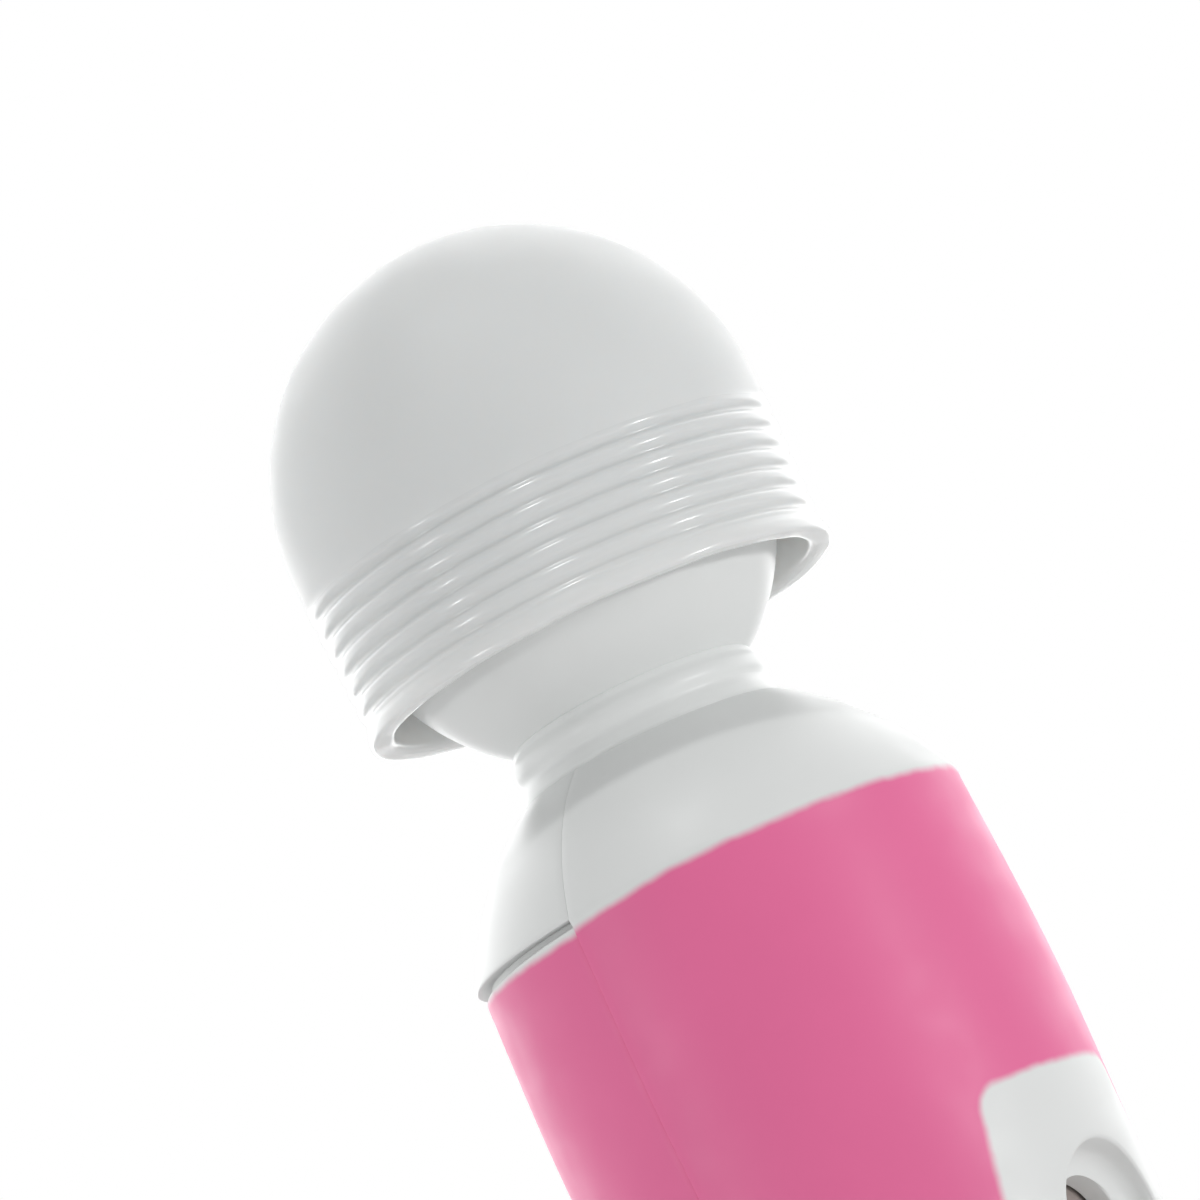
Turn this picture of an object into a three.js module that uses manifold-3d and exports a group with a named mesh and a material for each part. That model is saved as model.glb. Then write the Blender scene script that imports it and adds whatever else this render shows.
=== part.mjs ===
// A compact battery-powered wand massager, standing on its flat tail.
// Millimetres. +Z runs up the handle's axis to the head, and the thumb slider faces -Y.
// The origin is the middle of the tail's flat end.

import * as THREE from 'three';
import { mergeVertices } from 'three/addons/utils/BufferGeometryUtils.js';
import Module from 'manifold-3d';

const wasm = await Module();
wasm.setup();

// ---------------------------------------------------------------- driving dimensions

const GAP = 0.3;                  // clearance between pieces that touch
const ROUND = 36;                 // facets round the big turned pieces
const FINE = 10;                  // facets round screws, shafts and wires

const HEAD_Z = 180;               // middle of the head's dome
const CAP_RADIUS = 20.05;
const CAP_WALL = 2.0;
const CAP_RIM_Z = 164.8;          // open lower end of the soft cap
const GROOVE_DEPTH = 0.4;
const GROOVES_Z = [175.7, 173.9, 172.1, 170.4, 168.7, 167.1];
const CORE_RADIUS = 17.7;         // hard head core under the cap
const CORE_WALL = 1.8;
const CUP_BALL_Z = 174.2;         // middle of the core's lower ball
const CUP_FLAT_Z = 159.3;         // flat underside where the neck meets the core
const CORE_SPLIT_Z = 176;

const NECK_BORE = 9.0;            // inside radius of the soft neck
const SHOULDER_HOLE = 11.0;       // mouth that the neck passes through
const SPIGOT_RADIUS = 5.8;        // pegs inside the two ends of the neck spring
const LEAD_BORE = 3.2;            // way through the neck for the motor's leads
const SHOULDER_ARC = { r: -3.0, z: 133.7, radius: 25.9 };
const SHOULDER_FOOT_Z = 143.65;   // lower edge of the white back shoulder
const HANDLE_WALL = 1.8;
const PARTING_Y = 0.0;            // plane where the front shell meets the back pieces
const TAIL_FILLET = 5;

const COVER_TOP_Z = 142.9;
const COVER_INSET = 0.45;         // the cover sits this far inside the handle's outline
const COVER_WALL = 1.6;

const DISH = { half_width: 6, top: 112, bottom: 78, depth: 2.6 };
const SLOT = { half_width: 3.8, top: 110.4, bottom: 80.4 };
const BOARD = { width: 26, bottom: 66, top: 127, back_y: -7.2, thickness: 1.6 };

const CELL = { radius: 7.1, length: 49.2, nub_radius: 2.75, nub_length: 1.3 };
const CELL_X = 7.35;
const CELL_Y = 6.3;
const CELLS_FOOT_Z = 12.5;

const TRAY = { front_y: -2.6, back_y: -1.2, bottom: 4, top: 141.5, half_width: 16.4 };

const MOTOR_RADIUS = 10;
const MOTOR_FOOT_Z = 163.5;
const MOTOR_TOP_Z = 183.5;
const SHAFT_RADIUS = 1.0;

const WIRE_RADIUS = 0.55;

// ---------------------------------------------------------------- solids and booleans

const v2 = (r, z) => new THREE.Vector2(r, z);
const v3 = (x, y, z) => new THREE.Vector3(x, y, z);

// One closed solid for joining and cutting, from a closed three.js geometry.
function solid(geometry) {
  const bare = geometry.clone();
  bare.deleteAttribute('normal');
  bare.deleteAttribute('uv');
  const merged = mergeVertices(bare, 1e-4);
  const position = merged.attributes.position.array;
  const corners = [];
  for (let i = 0; i < merged.index.count; i += 3) {
    const [a, b, c] = [0, 1, 2].map((k) => merged.index.getX(i + k));
    if (a !== b && b !== c && c !== a) corners.push(a, b, c);
  }
  if (enclosedVolume(position, corners) < 0) corners.reverse();
  return new wasm.Manifold(new wasm.Mesh({
    numProp: 3,
    vertProperties: new Float32Array(position),
    triVerts: new Uint32Array(corners),
  }));
}

function enclosedVolume(position, corners) {
  const point = (i) => v3(position[3 * i], position[3 * i + 1], position[3 * i + 2]);
  let volume = 0;
  for (let i = 0; i < corners.length; i += 3) {
    const [a, b, c] = [point(corners[i]), point(corners[i + 1]), point(corners[i + 2])];
    volume += a.dot(b.cross(c)) / 6;
  }
  return volume;
}

function geometryOf(manifold) {
  const mesh = manifold.getMesh();
  const geometry = new THREE.BufferGeometry();
  geometry.setAttribute('position', new THREE.BufferAttribute(mesh.vertProperties, 3));
  geometry.setIndex(new THREE.BufferAttribute(mesh.triVerts, 1));
  geometry.computeVertexNormals();
  return geometry;
}

// A profile of (radius, height) points, turned about Z.
function turned(profile, facets = ROUND) {
  const geometry = new THREE.LatheGeometry(profile, facets);
  geometry.rotateX(Math.PI / 2);
  return solid(geometry);
}

// The lathe needs a closed ring of points where the profile stays off the axis.
const ringed = (profile) => [...profile, profile[0].clone()];

function disc(radius, low, high, facets = FINE) {
  return turned([v2(0, low), v2(radius, low), v2(radius, high), v2(0, high)], facets);
}

function ring(inner, outer, low, high, facets = ROUND) {
  return turned(ringed([v2(inner, low), v2(outer, low), v2(outer, high), v2(inner, high)]), facets);
}

function block(x, y, z) {
  const geometry = new THREE.BoxGeometry(x[1] - x[0], y[1] - y[0], z[1] - z[0]);
  geometry.translate((x[0] + x[1]) / 2, (y[0] + y[1]) / 2, (z[0] + z[1]) / 2);
  return solid(geometry);
}

// A round bar along Y, such as a screw's shank or a boss.
function barY(radius, x, z, y, facets = FINE) {
  const geometry = new THREE.CylinderGeometry(radius, radius, y[1] - y[0], facets);
  geometry.translate(x, (y[0] + y[1]) / 2, z);
  return solid(geometry);
}

// A flat outline in X and Z, pushed along Y from y[0] to y[1].
function slabY(shape, y, steps = 6) {
  const geometry = new THREE.ExtrudeGeometry(shape, {
    depth: y[1] - y[0],
    bevelEnabled: false,
    curveSegments: steps,
  });
  geometry.rotateX(Math.PI / 2);
  geometry.translate(0, y[1], 0);
  return solid(geometry);
}

// An upright slot outline with round ends.
function stadium(halfWidth, top, bottom) {
  const shape = new THREE.Shape();
  shape.absarc(0, top - halfWidth, halfWidth, 0, Math.PI, false);
  shape.absarc(0, bottom + halfWidth, halfWidth, Math.PI, 2 * Math.PI, false);
  shape.closePath();
  return shape;
}

// A round wire along a smooth curve through the points.
function wire(points, radius, steps) {
  return drawn(new THREE.CatmullRomCurve3(points), radius, steps);
}

// A round section drawn along a path. An arc has two facets for each curve segment.
function drawn(path, radius, steps, facets = 8) {
  const section = new THREE.Shape();
  section.absarc(0, 0, radius, 0, 2 * Math.PI, false);
  return solid(new THREE.ExtrudeGeometry(section, {
    steps,
    curveSegments: facets / 2,
    bevelEnabled: false,
    extrudePath: path,
  }));
}

// Points on an arc about (r, z), from one angle to the other, in degrees.
function arc(centreR, centreZ, radius, from, to, steps) {
  return Array.from({ length: steps + 1 }, (_, i) => {
    const angle = THREE.MathUtils.degToRad(from + ((to - from) * i) / steps);
    return v2(centreR + radius * Math.cos(angle), centreZ + radius * Math.sin(angle));
  });
}

// ---------------------------------------------------------------- finishes

const finish = (color, roughness, metalness = 0) =>
  new THREE.MeshStandardMaterial({ color, roughness, metalness });

const WHITE_ABS = finish(0xe3e5e4, 0.35);
const PINK_PAINT = finish(0xdc6a9c, 0.4);
const SOFT_WHITE = finish(0xe0e2e1, 0.55);
const GREY_PLASTIC = finish(0x8d8d90, 0.5);
const BLACK_PLASTIC = finish(0x1c1c1e, 0.5);
const STEEL = finish(0xb9bcc0, 0.3, 1);
const BRASS = finish(0xc8a24e, 0.35, 1);
const COPPER = finish(0xb56a3c, 0.35, 1);
const BOARD_GREEN = finish(0x2d6a45, 0.5);
const CELL_SLEEVE = finish(0x3a4148, 0.35, 0.4);
const FERRITE = finish(0x303236, 0.7);
const RED_LEAD = finish(0xb3242a, 0.5);
const BLACK_LEAD = finish(0x222224, 0.5);

const massager = new THREE.Group();

function add(parent, name, manifold, material) {
  const mesh = new THREE.Mesh(geometryOf(manifold), material);
  mesh.name = name;
  parent.add(mesh);
}

// ---------------------------------------------------------------- the handle's outline

// Outside radius of the handle below the shoulder: a waist, then a fuller upper end.
const outlineCurve = new THREE.SplineCurve([
  v2(20.3, TAIL_FILLET),
  v2(19.9, 28),
  v2(19.5, 55),
  v2(20.0, 86),
  v2(20.8, 109),
  v2(21.35, 127),
  v2(20.85, 143.2),
]);

// The handle's profile pulled in by `inset`, from the tail's flat up to the shoulder's mouth.
function outline(inset, floorZ, mouth) {
  const tail = arc(20.3 - TAIL_FILLET, TAIL_FILLET, TAIL_FILLET - inset, -90, -15, 3);
  const side = outlineCurve.getPoints(8).map((p) => v2(p.x - inset, p.y));
  const radius = SHOULDER_ARC.radius - inset;
  const toAngle = (r) => THREE.MathUtils.radToDeg(Math.acos((r - SHOULDER_ARC.r) / radius));
  const footR = Math.sqrt(radius ** 2 - (SHOULDER_FOOT_Z - SHOULDER_ARC.z) ** 2) + SHOULDER_ARC.r;
  const dome = arc(SHOULDER_ARC.r, SHOULDER_ARC.z, radius, toAngle(footR), toAngle(mouth), 5);
  const low = tail.map((p) => v2(p.x, Math.max(p.y, floorZ)));
  return [v2(0, floorZ), ...low, ...side, ...dome];
}

const shoulderMouth = 11.3;
const innerMouth = 14.0;

function handleBody() {
  const profile = outline(0, 0, shoulderMouth);
  const top = profile[profile.length - 1].y;
  return turned([...profile, v2(0, top)]);
}

function handleHollow() {
  const profile = outline(HANDLE_WALL, HANDLE_WALL, innerMouth);
  const top = profile[profile.length - 1].y;
  return turned([...profile, v2(0, top)]);
}

const neckHole = disc(SHOULDER_HOLE, 140, 160, ROUND);
const frontHalf = block([-30, 30], [-30, PARTING_Y], [-1, 170]);
const backHalf = block([-30, 30], [PARTING_Y + GAP, 30], [-1, 170]);

// A shelf inside both halves of the shoulder, which carries the neck collar.
const collarShelf = ring(14.6, 18.0, 144.6, 146.0);

// ---------------------------------------------------------------- handle

const handle = new THREE.Group();
massager.add(handle);

const shellScrews = [
  { name: 'shell_screw_upper_right', x: 10, z: 133 },
  { name: 'shell_screw_upper_left', x: -10, z: 133 },
  { name: 'shell_screw_lower_right', x: 10, z: 9 },
  { name: 'shell_screw_lower_left', x: -10, z: 9 },
];
const boardScrews = [
  { name: 'board_screw_lower', x: -9.6, z: 70 },
  { name: 'board_screw_upper', x: 9.6, z: 122 },
];

function frontShell() {
  let shell = handleBody().subtract(handleHollow());
  shell = shell.add(collarShelf.intersect(handleBody()));
  shell = shell.subtract(neckHole).intersect(frontHalf);
  const pad = slabY(stadium(DISH.half_width + 2, DISH.top + 2, DISH.bottom - 2), [-22, -15.9]);
  shell = shell.add(pad.intersect(handleBody()));
  for (const { x, z } of shellScrews) {
    const boss = barY(2.6, x, z, [-22, TRAY.front_y - GAP]).intersect(handleBody());
    shell = shell.add(boss).subtract(barY(1.3, x, z, [-13, 0]));
  }
  const boardFront = BOARD.back_y - BOARD.thickness - GAP;
  for (const { x, z } of boardScrews) {
    const boss = barY(2.2, x, z, [-22, boardFront]).intersect(handleBody());
    shell = shell.add(boss).subtract(barY(1.1, x, z, [-15, 0]));
  }
  const dishFloor = -20.3 + DISH.depth;
  shell = shell.subtract(slabY(stadium(DISH.half_width, DISH.top, DISH.bottom), [-24, dishFloor]));
  return shell.subtract(slabY(stadium(SLOT.half_width, SLOT.top, SLOT.bottom), [-24, -10]));
}
add(handle, 'front_shell', frontShell(), WHITE_ABS);

// The back shoulder and, below it, the tray that holds the cells and takes the screws.
function backShell() {
  const shoulderBand = block([-30, 30], [PARTING_Y + GAP, 30], [SHOULDER_FOOT_Z, 170]);
  let shell = handleBody().subtract(handleHollow()).add(collarShelf.intersect(handleBody()));
  shell = shell.subtract(neckHole).intersect(shoulderBand);
  shell = shell.add(ring(17.0, 18.3, 140, 146.3).intersect(backHalf));
  const room = disc(16.9, 0, 150, ROUND);
  const { front_y: front, back_y: back, bottom, top, half_width: half } = TRAY;
  shell = shell.add(block([-half, half], [front, back], [bottom, top]));
  shell = shell.add(disc(18.3, 140, 141.5, ROUND).intersect(block([-30, 30], [front, 30], [130, 150])));
  const cellsTop = CELLS_FOOT_Z + 2 * (CELL.length + CELL.nub_length + GAP);
  for (const low of [bottom, cellsTop + 1]) {
    shell = shell.add(block([-half, half], [front, 10], [low, low + 1.5]).intersect(room));
  }
  for (const side of [-1, 1]) {
    const wall = [side * 14.75, side * 15.55].sort((a, b) => a - b);
    const ledge = [side * 14.75, side * half].sort((a, b) => a - b);
    const x = side * CELL_X;
    shell = shell.add(block(wall, [front, 3.7], [bottom, cellsTop + 2.5]));
    shell = shell.add(block(ledge, [2.5, 3.7], [bottom, cellsTop + 2.5]).intersect(room));
    const notch = [side * 15.7, side * 17].sort((a, b) => a - b);
    shell = shell.subtract(block(notch, [PARTING_Y - GAP, 2.3], [bottom - 1, bottom + 2]));
    shell = shell.subtract(disc(1.2, 110, 122).translate([x, CELL_Y, 0]));
    shell = shell.subtract(barY(1.2, side * 5.5, 121, [front - 1, back + 1]));
  }
  for (const { x, z } of shellScrews) shell = shell.subtract(barY(1.4, x, z, [front - 1, back + 1]));
  return shell.subtract(disc(5, 139, 142).translate([0, -4, 0]));
}
add(handle, 'back_shell', backShell(), WHITE_ABS);

// The seat under the neck: it holds the spring's lower end and traps the neck's flange.
function neckCollar() {
  return turned(ringed([
    v2(LEAD_BORE, 146.3),
    v2(15.7, 146.3),
    v2(15.7, 148.3),
    v2(8.6, 148.3),
    v2(8.6, 150.6),
    v2(SPIGOT_RADIUS, 150.6),
    v2(SPIGOT_RADIUS, 153.5),
    v2(LEAD_BORE, 153.5),
  ]));
}
add(handle, 'neck_collar', neckCollar(), GREY_PLASTIC);

function circuitBoard() {
  const { width, bottom, top, back_y: back, thickness } = BOARD;
  let board = block([-width / 2, width / 2], [back - thickness, back], [bottom, top]);
  for (const { x, z } of boardScrews) board = board.subtract(barY(1.3, x, z, [-12, -5]));
  return board;
}
add(handle, 'circuit_board', circuitBoard(), BOARD_GREEN);

function pointedScrew(x, z, headY, shank, headRadius, shankRadius) {
  const head = barY(headRadius, x, z, [headY, headY + 1.4]);
  const body = barY(shankRadius, x, z, [headY - shank, headY + 0.5]);
  const slot = block([x - headRadius, x + headRadius], [headY + 0.9, headY + 2], [z - 0.3, z + 0.3]);
  return head.add(body).subtract(slot);
}
for (const { name, x, z } of shellScrews) {
  add(handle, name, pointedScrew(x, z, TRAY.back_y + GAP, 9.5, 2.4, 1.0), STEEL);
}
for (const { name, x, z } of boardScrews) {
  add(handle, name, pointedScrew(x, z, BOARD.back_y + GAP, 6, 1.9, 0.8), STEEL);
}

// The slide switch under the thumb slot, soldered to the board.
function switchHousing() {
  const front = BOARD.back_y - BOARD.thickness - GAP;
  const can = block([-4, 4], [front - 4, front], [82, 99.5]);
  return can.subtract(block([-1.6, 1.6], [front - 5, front - 3], [84.5, 98]));
}
add(handle, 'switch_housing', switchHousing(), STEEL);

// Four AA cells in series: the right pair stands nub up, the left pair nub down.
function cell(footZ, nubUp) {
  const { radius, length, nub_radius: nubRadius, nub_length: nubLength } = CELL;
  const bevel = 0.5;
  const profile = [
    v2(0, 0),
    v2(radius - bevel, 0),
    v2(radius, bevel),
    v2(radius, length - bevel),
    v2(radius - bevel, length),
    v2(nubRadius, length),
    v2(nubRadius, length + nubLength),
    v2(0, length + nubLength),
  ];
  const upright = turned(profile, 28);
  const placed = nubUp ? upright : upright.rotate([180, 0, 0]).translate([0, 0, length + nubLength]);
  return placed.translate([0, 0, footZ]);
}
const cellPitch = CELL.length + CELL.nub_length + GAP;
for (const [level, place] of ['lower', 'upper'].entries()) {
  for (const [side, nubUp] of [[-1, false], [1, true]]) {
    const name = `battery_cell_${place}_${side > 0 ? 'right' : 'left'}`;
    const body = cell(CELLS_FOOT_Z + level * cellPitch, nubUp);
    add(handle, name, body.translate([side * CELL_X, CELL_Y, 0]), CELL_SLEEVE);
  }
}

add(handle, 'lower_contact_plate', block([-13, 13], [1.5, 10], [5.8, 6.3]), STEEL);

// A coil of round wire about an upright axis.
class Coil extends THREE.Curve {
  constructor(radii, heights, turns, centre) {
    super();
    Object.assign(this, { radii, heights, turns, centre });
  }

  getPoint(t) {
    const angle = 2 * Math.PI * this.turns * t;
    const radius = THREE.MathUtils.lerp(this.radii[0], this.radii[1], t);
    const height = THREE.MathUtils.lerp(this.heights[0], this.heights[1], t);
    const [x, y] = this.centre;
    return v3(x + radius * Math.cos(angle), y + radius * Math.sin(angle), height);
  }
}

for (const [side, name] of [[-1, 'left'], [1, 'right']]) {
  const winding = new Coil([4.6, 2.2], [7.0, 11.9], 3, [side * CELL_X, CELL_Y]);
  const spring = drawn(winding, 0.35, 36, 6);
  add(handle, `contact_spring_${name}`, spring, STEEL);
  const plateZ = CELLS_FOOT_Z + 2 * cellPitch;
  const terminal = block([side * CELL_X - 4, side * CELL_X + 4], [2.5, 10], [plateZ + 0.1, plateZ + 0.6]);
  add(handle, `upper_terminal_${name}`, terminal, STEEL);
  const lead = wire([
    v3(side * CELL_X, CELL_Y, plateZ + 0.9),
    v3(side * CELL_X, CELL_Y, plateZ + 4),
    v3(side * 6.9, 4.2, 119.4),
    v3(side * 5.7, 1.0, 120.8),
    v3(side * 5.5, -2, 121),
    v3(side * 5.5, BOARD.back_y + GAP, 121),
  ], WIRE_RADIUS, 18);
  add(handle, `battery_lead_${name}`, lead, side > 0 ? RED_LEAD : BLACK_LEAD);
}

// ---------------------------------------------------------------- battery cover

const cover = new THREE.Group();
massager.add(cover);

// The cover is the whole back of the handle with half of the tail, and slides off downwards.
function batteryCover() {
  const body = turned([...outline(COVER_INSET, 0, shoulderMouth), v2(0, 160)]);
  const inner = outline(COVER_INSET + COVER_WALL, HANDLE_WALL, innerMouth);
  const hollow = turned([...inner, v2(0, 160)]);
  const shell = body.subtract(hollow);
  const rails = [-1, 1].map((side) => {
    const x = [side * 15.9, side * 20].sort((a, b) => a - b);
    return block(x, [PARTING_Y + GAP, 2.1], [20, 110]).intersect(body);
  });
  const below = block([-30, 30], [PARTING_Y + GAP, 30], [-1, COVER_TOP_Z]);
  return shell.add(rails[0]).add(rails[1]).intersect(below);
}
add(cover, 'battery_cover', batteryCover(), PINK_PAINT);

// ---------------------------------------------------------------- thumb slider

const slider = new THREE.Group();
massager.add(slider);

function sliderKnob() {
  const stem = slabY(stadium(SLOT.half_width - GAP, 96.1, SLOT.bottom + 0.7), [-18.4, -14.6]);
  const skirt = block([-5, 5], [-15.6, -14.2], [72, 112]);
  let knob = stem.add(skirt);
  for (const z of [85.5, 88.5, 91.5]) {
    knob = knob.subtract(block([-4, 4], [-19, -17.9], [z - 0.5, z + 0.5]));
  }
  return knob.subtract(block([-1.2, 1.2], [-15, -14], [86, 89.4]));
}
add(slider, 'slider_knob', sliderKnob(), WHITE_ABS);
add(slider, 'switch_lever', block([-0.9, 0.9], [-14.7, -12.4], [86.3, 89.1]), BLACK_PLASTIC);

// ---------------------------------------------------------------- neck

const neck = new THREE.Group();
massager.add(neck);

// A soft sleeve with two rounded ribs above the shoulder and a flange trapped under it.
function neckBellows() {
  const rib = (radius, z, half, base) => arc(base, z, 1, -90, 90, 3)
    .map((p) => v2(base + (radius - base) * (p.x - base), z + half * (p.y - z)));
  return turned(ringed([
    v2(NECK_BORE, 148.6),
    v2(12.6, 148.6),
    v2(12.6, 150.6),
    v2(10.6, 150.6),
    ...rib(10.9, 155.9, 0.75, 10.6),
    ...rib(10.98, 158.2, 0.75, 10.5),
    v2(10.45, CUP_FLAT_Z - GAP),
    v2(NECK_BORE, CUP_FLAT_Z - GAP),
  ]));
}
add(neck, 'neck_bellows', neckBellows(), SOFT_WHITE);
add(neck, 'neck_spring', drawn(new Coil([7, 7], [151.7, 158.1], 3.5, [0, 0]), 0.7, 49), STEEL);

for (const [side, name, material] of [[-1, 'black', BLACK_LEAD], [1, 'red', RED_LEAD]]) {
  const lead = wire([
    v3(side * 3.0, -6.2, 123.5),
    v3(side * 2.6, -5.4, 129),
    v3(side * 2.2, -4.6, 136),
    v3(side * 1.7, -3.0, 142.5),
    v3(side * 1.3, -1.2, 146.8),
    v3(side * 1.2, 0, 151),
    v3(side * 1.2, 0, 157),
    v3(side * 1.2, 0, 160.4),
    v3(side * 2.5, 0, 162.0),
    v3(side * 4.5, 0, 162.4),
  ], WIRE_RADIUS, 34);
  add(neck, `motor_lead_${name}`, lead, material);
}

// ---------------------------------------------------------------- head

const head = new THREE.Group();
massager.add(head);

// The soft cap: a dome, a grooved band and a plain rounded rim, open underneath.
function headCap() {
  const outer = arc(0, HEAD_Z, CAP_RADIUS, 90, 0, 9);
  const grooved = [];
  for (const z of GROOVES_Z) {
    grooved.push(v2(CAP_RADIUS, z + 0.55));
    grooved.push(v2(CAP_RADIUS - GROOVE_DEPTH, z));
    grooved.push(v2(CAP_RADIUS, z - 0.55));
  }
  const rim = arc(CAP_RADIUS - CAP_WALL / 2, CAP_RIM_Z + CAP_WALL / 2, CAP_WALL / 2, 0, -180, 4);
  const inside = arc(0, HEAD_Z, CAP_RADIUS - CAP_WALL, 0, 90, 9);
  return turned([...outer, ...grooved, ...rim, ...inside]);
}
add(head, 'head_cap', headCap(), SOFT_WHITE);

const flatAngle = (centreZ, radius, z) =>
  THREE.MathUtils.radToDeg(Math.asin((z - centreZ) / radius));

const clampScrewsX = [-13.6, 13.6];

// The lower half of the core: a ball with a flat foot, a spring spigot and a shelf.
function lowerCup() {
  const inner = CORE_RADIUS - CORE_WALL;
  const outside = arc(0, CUP_BALL_Z, CORE_RADIUS, flatAngle(CUP_BALL_Z, CORE_RADIUS, CUP_FLAT_Z), 0, 6);
  const floorZ = CUP_FLAT_Z + CORE_WALL;
  const inside = arc(0, CUP_BALL_Z, inner, 0, flatAngle(CUP_BALL_Z, inner, floorZ), 6);
  let cup = turned(ringed([
    v2(LEAD_BORE, 157.8),
    v2(SPIGOT_RADIUS, 157.8),
    v2(SPIGOT_RADIUS, CUP_FLAT_Z),
    ...outside,
    v2(CORE_RADIUS, CORE_SPLIT_Z),
    v2(inner, CORE_SPLIT_Z),
    ...inside,
    v2(LEAD_BORE, floorZ),
  ]));
  cup = cup.add(ring(11.7, inner + 0.5, 172.6, 174.3));
  for (const x of clampScrewsX) {
    cup = cup.add(disc(2.1, 167.5, 174.3).translate([x, 0, 0]).intersect(disc(16.5, 160, 180, ROUND)));
    cup = cup.subtract(disc(1.2, 168.5, 180).translate([x, 0, 0]));
  }
  return cup;
}
add(head, 'lower_cup', lowerCup(), WHITE_ABS);

// The upper half of the core: the dome that the cap is stretched over.
function upperDome() {
  const inner = CORE_RADIUS - CORE_WALL;
  const foot = CORE_SPLIT_Z + GAP;
  return turned([
    ...arc(0, HEAD_Z, inner, 90, 0, 8),
    v2(inner, foot),
    v2(CORE_RADIUS, foot),
    ...arc(0, HEAD_Z, CORE_RADIUS, 0, 90, 9),
  ]);
}
add(head, 'upper_dome', upperDome(), WHITE_ABS);

// A ring screwed down over the motor sleeve's flange.
function clampRing() {
  let clamp = ring(11.9, 15.4, 176.4, 177.9);
  for (const x of clampScrewsX) clamp = clamp.subtract(disc(1.25, 175, 179).translate([x, 0, 0]));
  return clamp;
}
add(head, 'clamp_ring', clampRing(), GREY_PLASTIC);
for (const [i, x] of clampScrewsX.entries()) {
  const screw = disc(1.6, 178.2, 179.3).add(disc(0.9, 170, 178.6));
  add(head, `clamp_screw_${i === 0 ? 'left' : 'right'}`, screw.translate([x, 0, 0]), STEEL);
}

// Soft rubber between the motor and the core, with the flange that the ring clamps.
function motorSleeve() {
  return turned(ringed([
    v2(MOTOR_RADIUS + GAP, 166.5),
    v2(11.4, 166.5),
    v2(11.4, 174.6),
    v2(15.2, 174.6),
    v2(15.2, 176.1),
    v2(11.6, 176.1),
    v2(11.6, 181.5),
    v2(MOTOR_RADIUS + GAP, 181.5),
  ]));
}
function sleeveWithScrewNotches() {
  const notch = clampScrewsX.map((x) => disc(1.2, 174, 177).translate([x, 0, 0]));
  return motorSleeve().subtract(notch[0]).subtract(notch[1]);
}
add(head, 'motor_sleeve', sleeveWithScrewNotches(), BLACK_PLASTIC);

function motorCan() {
  const wall = 0.7;
  return turned(ringed([
    v2(3.3, MOTOR_TOP_Z - wall),
    v2(MOTOR_RADIUS - wall, MOTOR_TOP_Z - wall),
    v2(MOTOR_RADIUS - wall, MOTOR_FOOT_Z),
    v2(MOTOR_RADIUS, MOTOR_FOOT_Z),
    v2(MOTOR_RADIUS, MOTOR_TOP_Z - 0.6),
    v2(MOTOR_RADIUS - 0.6, MOTOR_TOP_Z),
    v2(3.3, MOTOR_TOP_Z),
  ]), 40);
}
add(head, 'motor_can', motorCan(), STEEL);
add(head, 'motor_end_cap', ring(2.7, 9.0, 163.7, 165.3, 32), BLACK_PLASTIC);
add(head, 'rear_bearing', ring(SHAFT_RADIUS + GAP, 2.4, 163.6, 165.6, FINE), BRASS);
add(head, 'front_bearing', ring(SHAFT_RADIUS + GAP, 3.0, 182.6, 184.6, FINE), BRASS);

for (const [side, name] of [[-1, 'left'], [1, 'right']]) {
  const tab = block([side * 6 - 0.9, side * 6 + 0.9], [-0.25, 0.25], [161.6, 163.4]);
  add(head, `motor_terminal_${name}`, tab, COPPER);
  const brush = block([side * 3.3 - 0.2, side * 3.3 + 0.2], [-1.1, 1.1], [165.6, 167.8]);
  add(head, `brush_${name}`, brush, COPPER);
  const half = block([side > 0 ? 2.5 : -12, side > 0 ? 12 : -2.5], [-12, 12], [160, 190]);
  add(head, `field_magnet_${name}`, ring(7.3, 9.0, 168.5, 180.5, 32).intersect(half), FERRITE);
}

// ---------------------------------------------------------------- rotor

const rotor = new THREE.Group();
massager.add(rotor);

add(rotor, 'motor_shaft', disc(SHAFT_RADIUS, 163.9, 192.3, FINE), STEEL);

// The unbalanced weight: a half-moon on a hub, which makes the head shake.
function eccentricWeight() {
  const moon = disc(8.2, 185.4, 191.2, 32).intersect(block([-10, 10], [0.6, 10], [185, 192]));
  const hub = disc(3.0, 185.4, 191.2, FINE);
  return moon.add(hub).subtract(disc(SHAFT_RADIUS + GAP, 180, 195, FINE));
}
add(rotor, 'eccentric_weight', eccentricWeight(), BRASS);

// A three-pole iron core, each pole a narrow stem with a wide shoe.
function armature() {
  let core = disc(2.6, 169.5, 179.5, FINE);
  const shoes = ring(5.6, 6.8, 169.5, 179.5, 36);
  for (let pole = 0; pole < 3; pole += 1) {
    const turn = [0, 0, pole * 120];
    const stem = block([0, 6.2], [-1.1, 1.1], [169.5, 179.5]).rotate(turn);
    const sector = block([3, 8], [-4.2, 4.2], [169, 180]).rotate(turn);
    core = core.add(stem).add(shoes.intersect(sector));
  }
  return core.subtract(disc(SHAFT_RADIUS + GAP, 160, 190, FINE));
}
add(rotor, 'armature', armature(), FERRITE);
add(rotor, 'commutator', ring(SHAFT_RADIUS + GAP, 2.6, 165.9, 168.6, FINE), COPPER);

export default massager;
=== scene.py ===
# %% [markdown]
# # A compact wand massager
# The real object is a white plastic handle, partly sprayed pink, a soft ribbed neck and a round
# head under a stretched-on soft cap. This lesson dresses its mechanical model: the sizes and the
# moving bodies come from that frame, and every surface that the eye or a thumb meets is made
# here as a fine mesh with a finish of its own.

import math

import bmesh
import bpy
from mathutils import Matrix, Vector, noise


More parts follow.
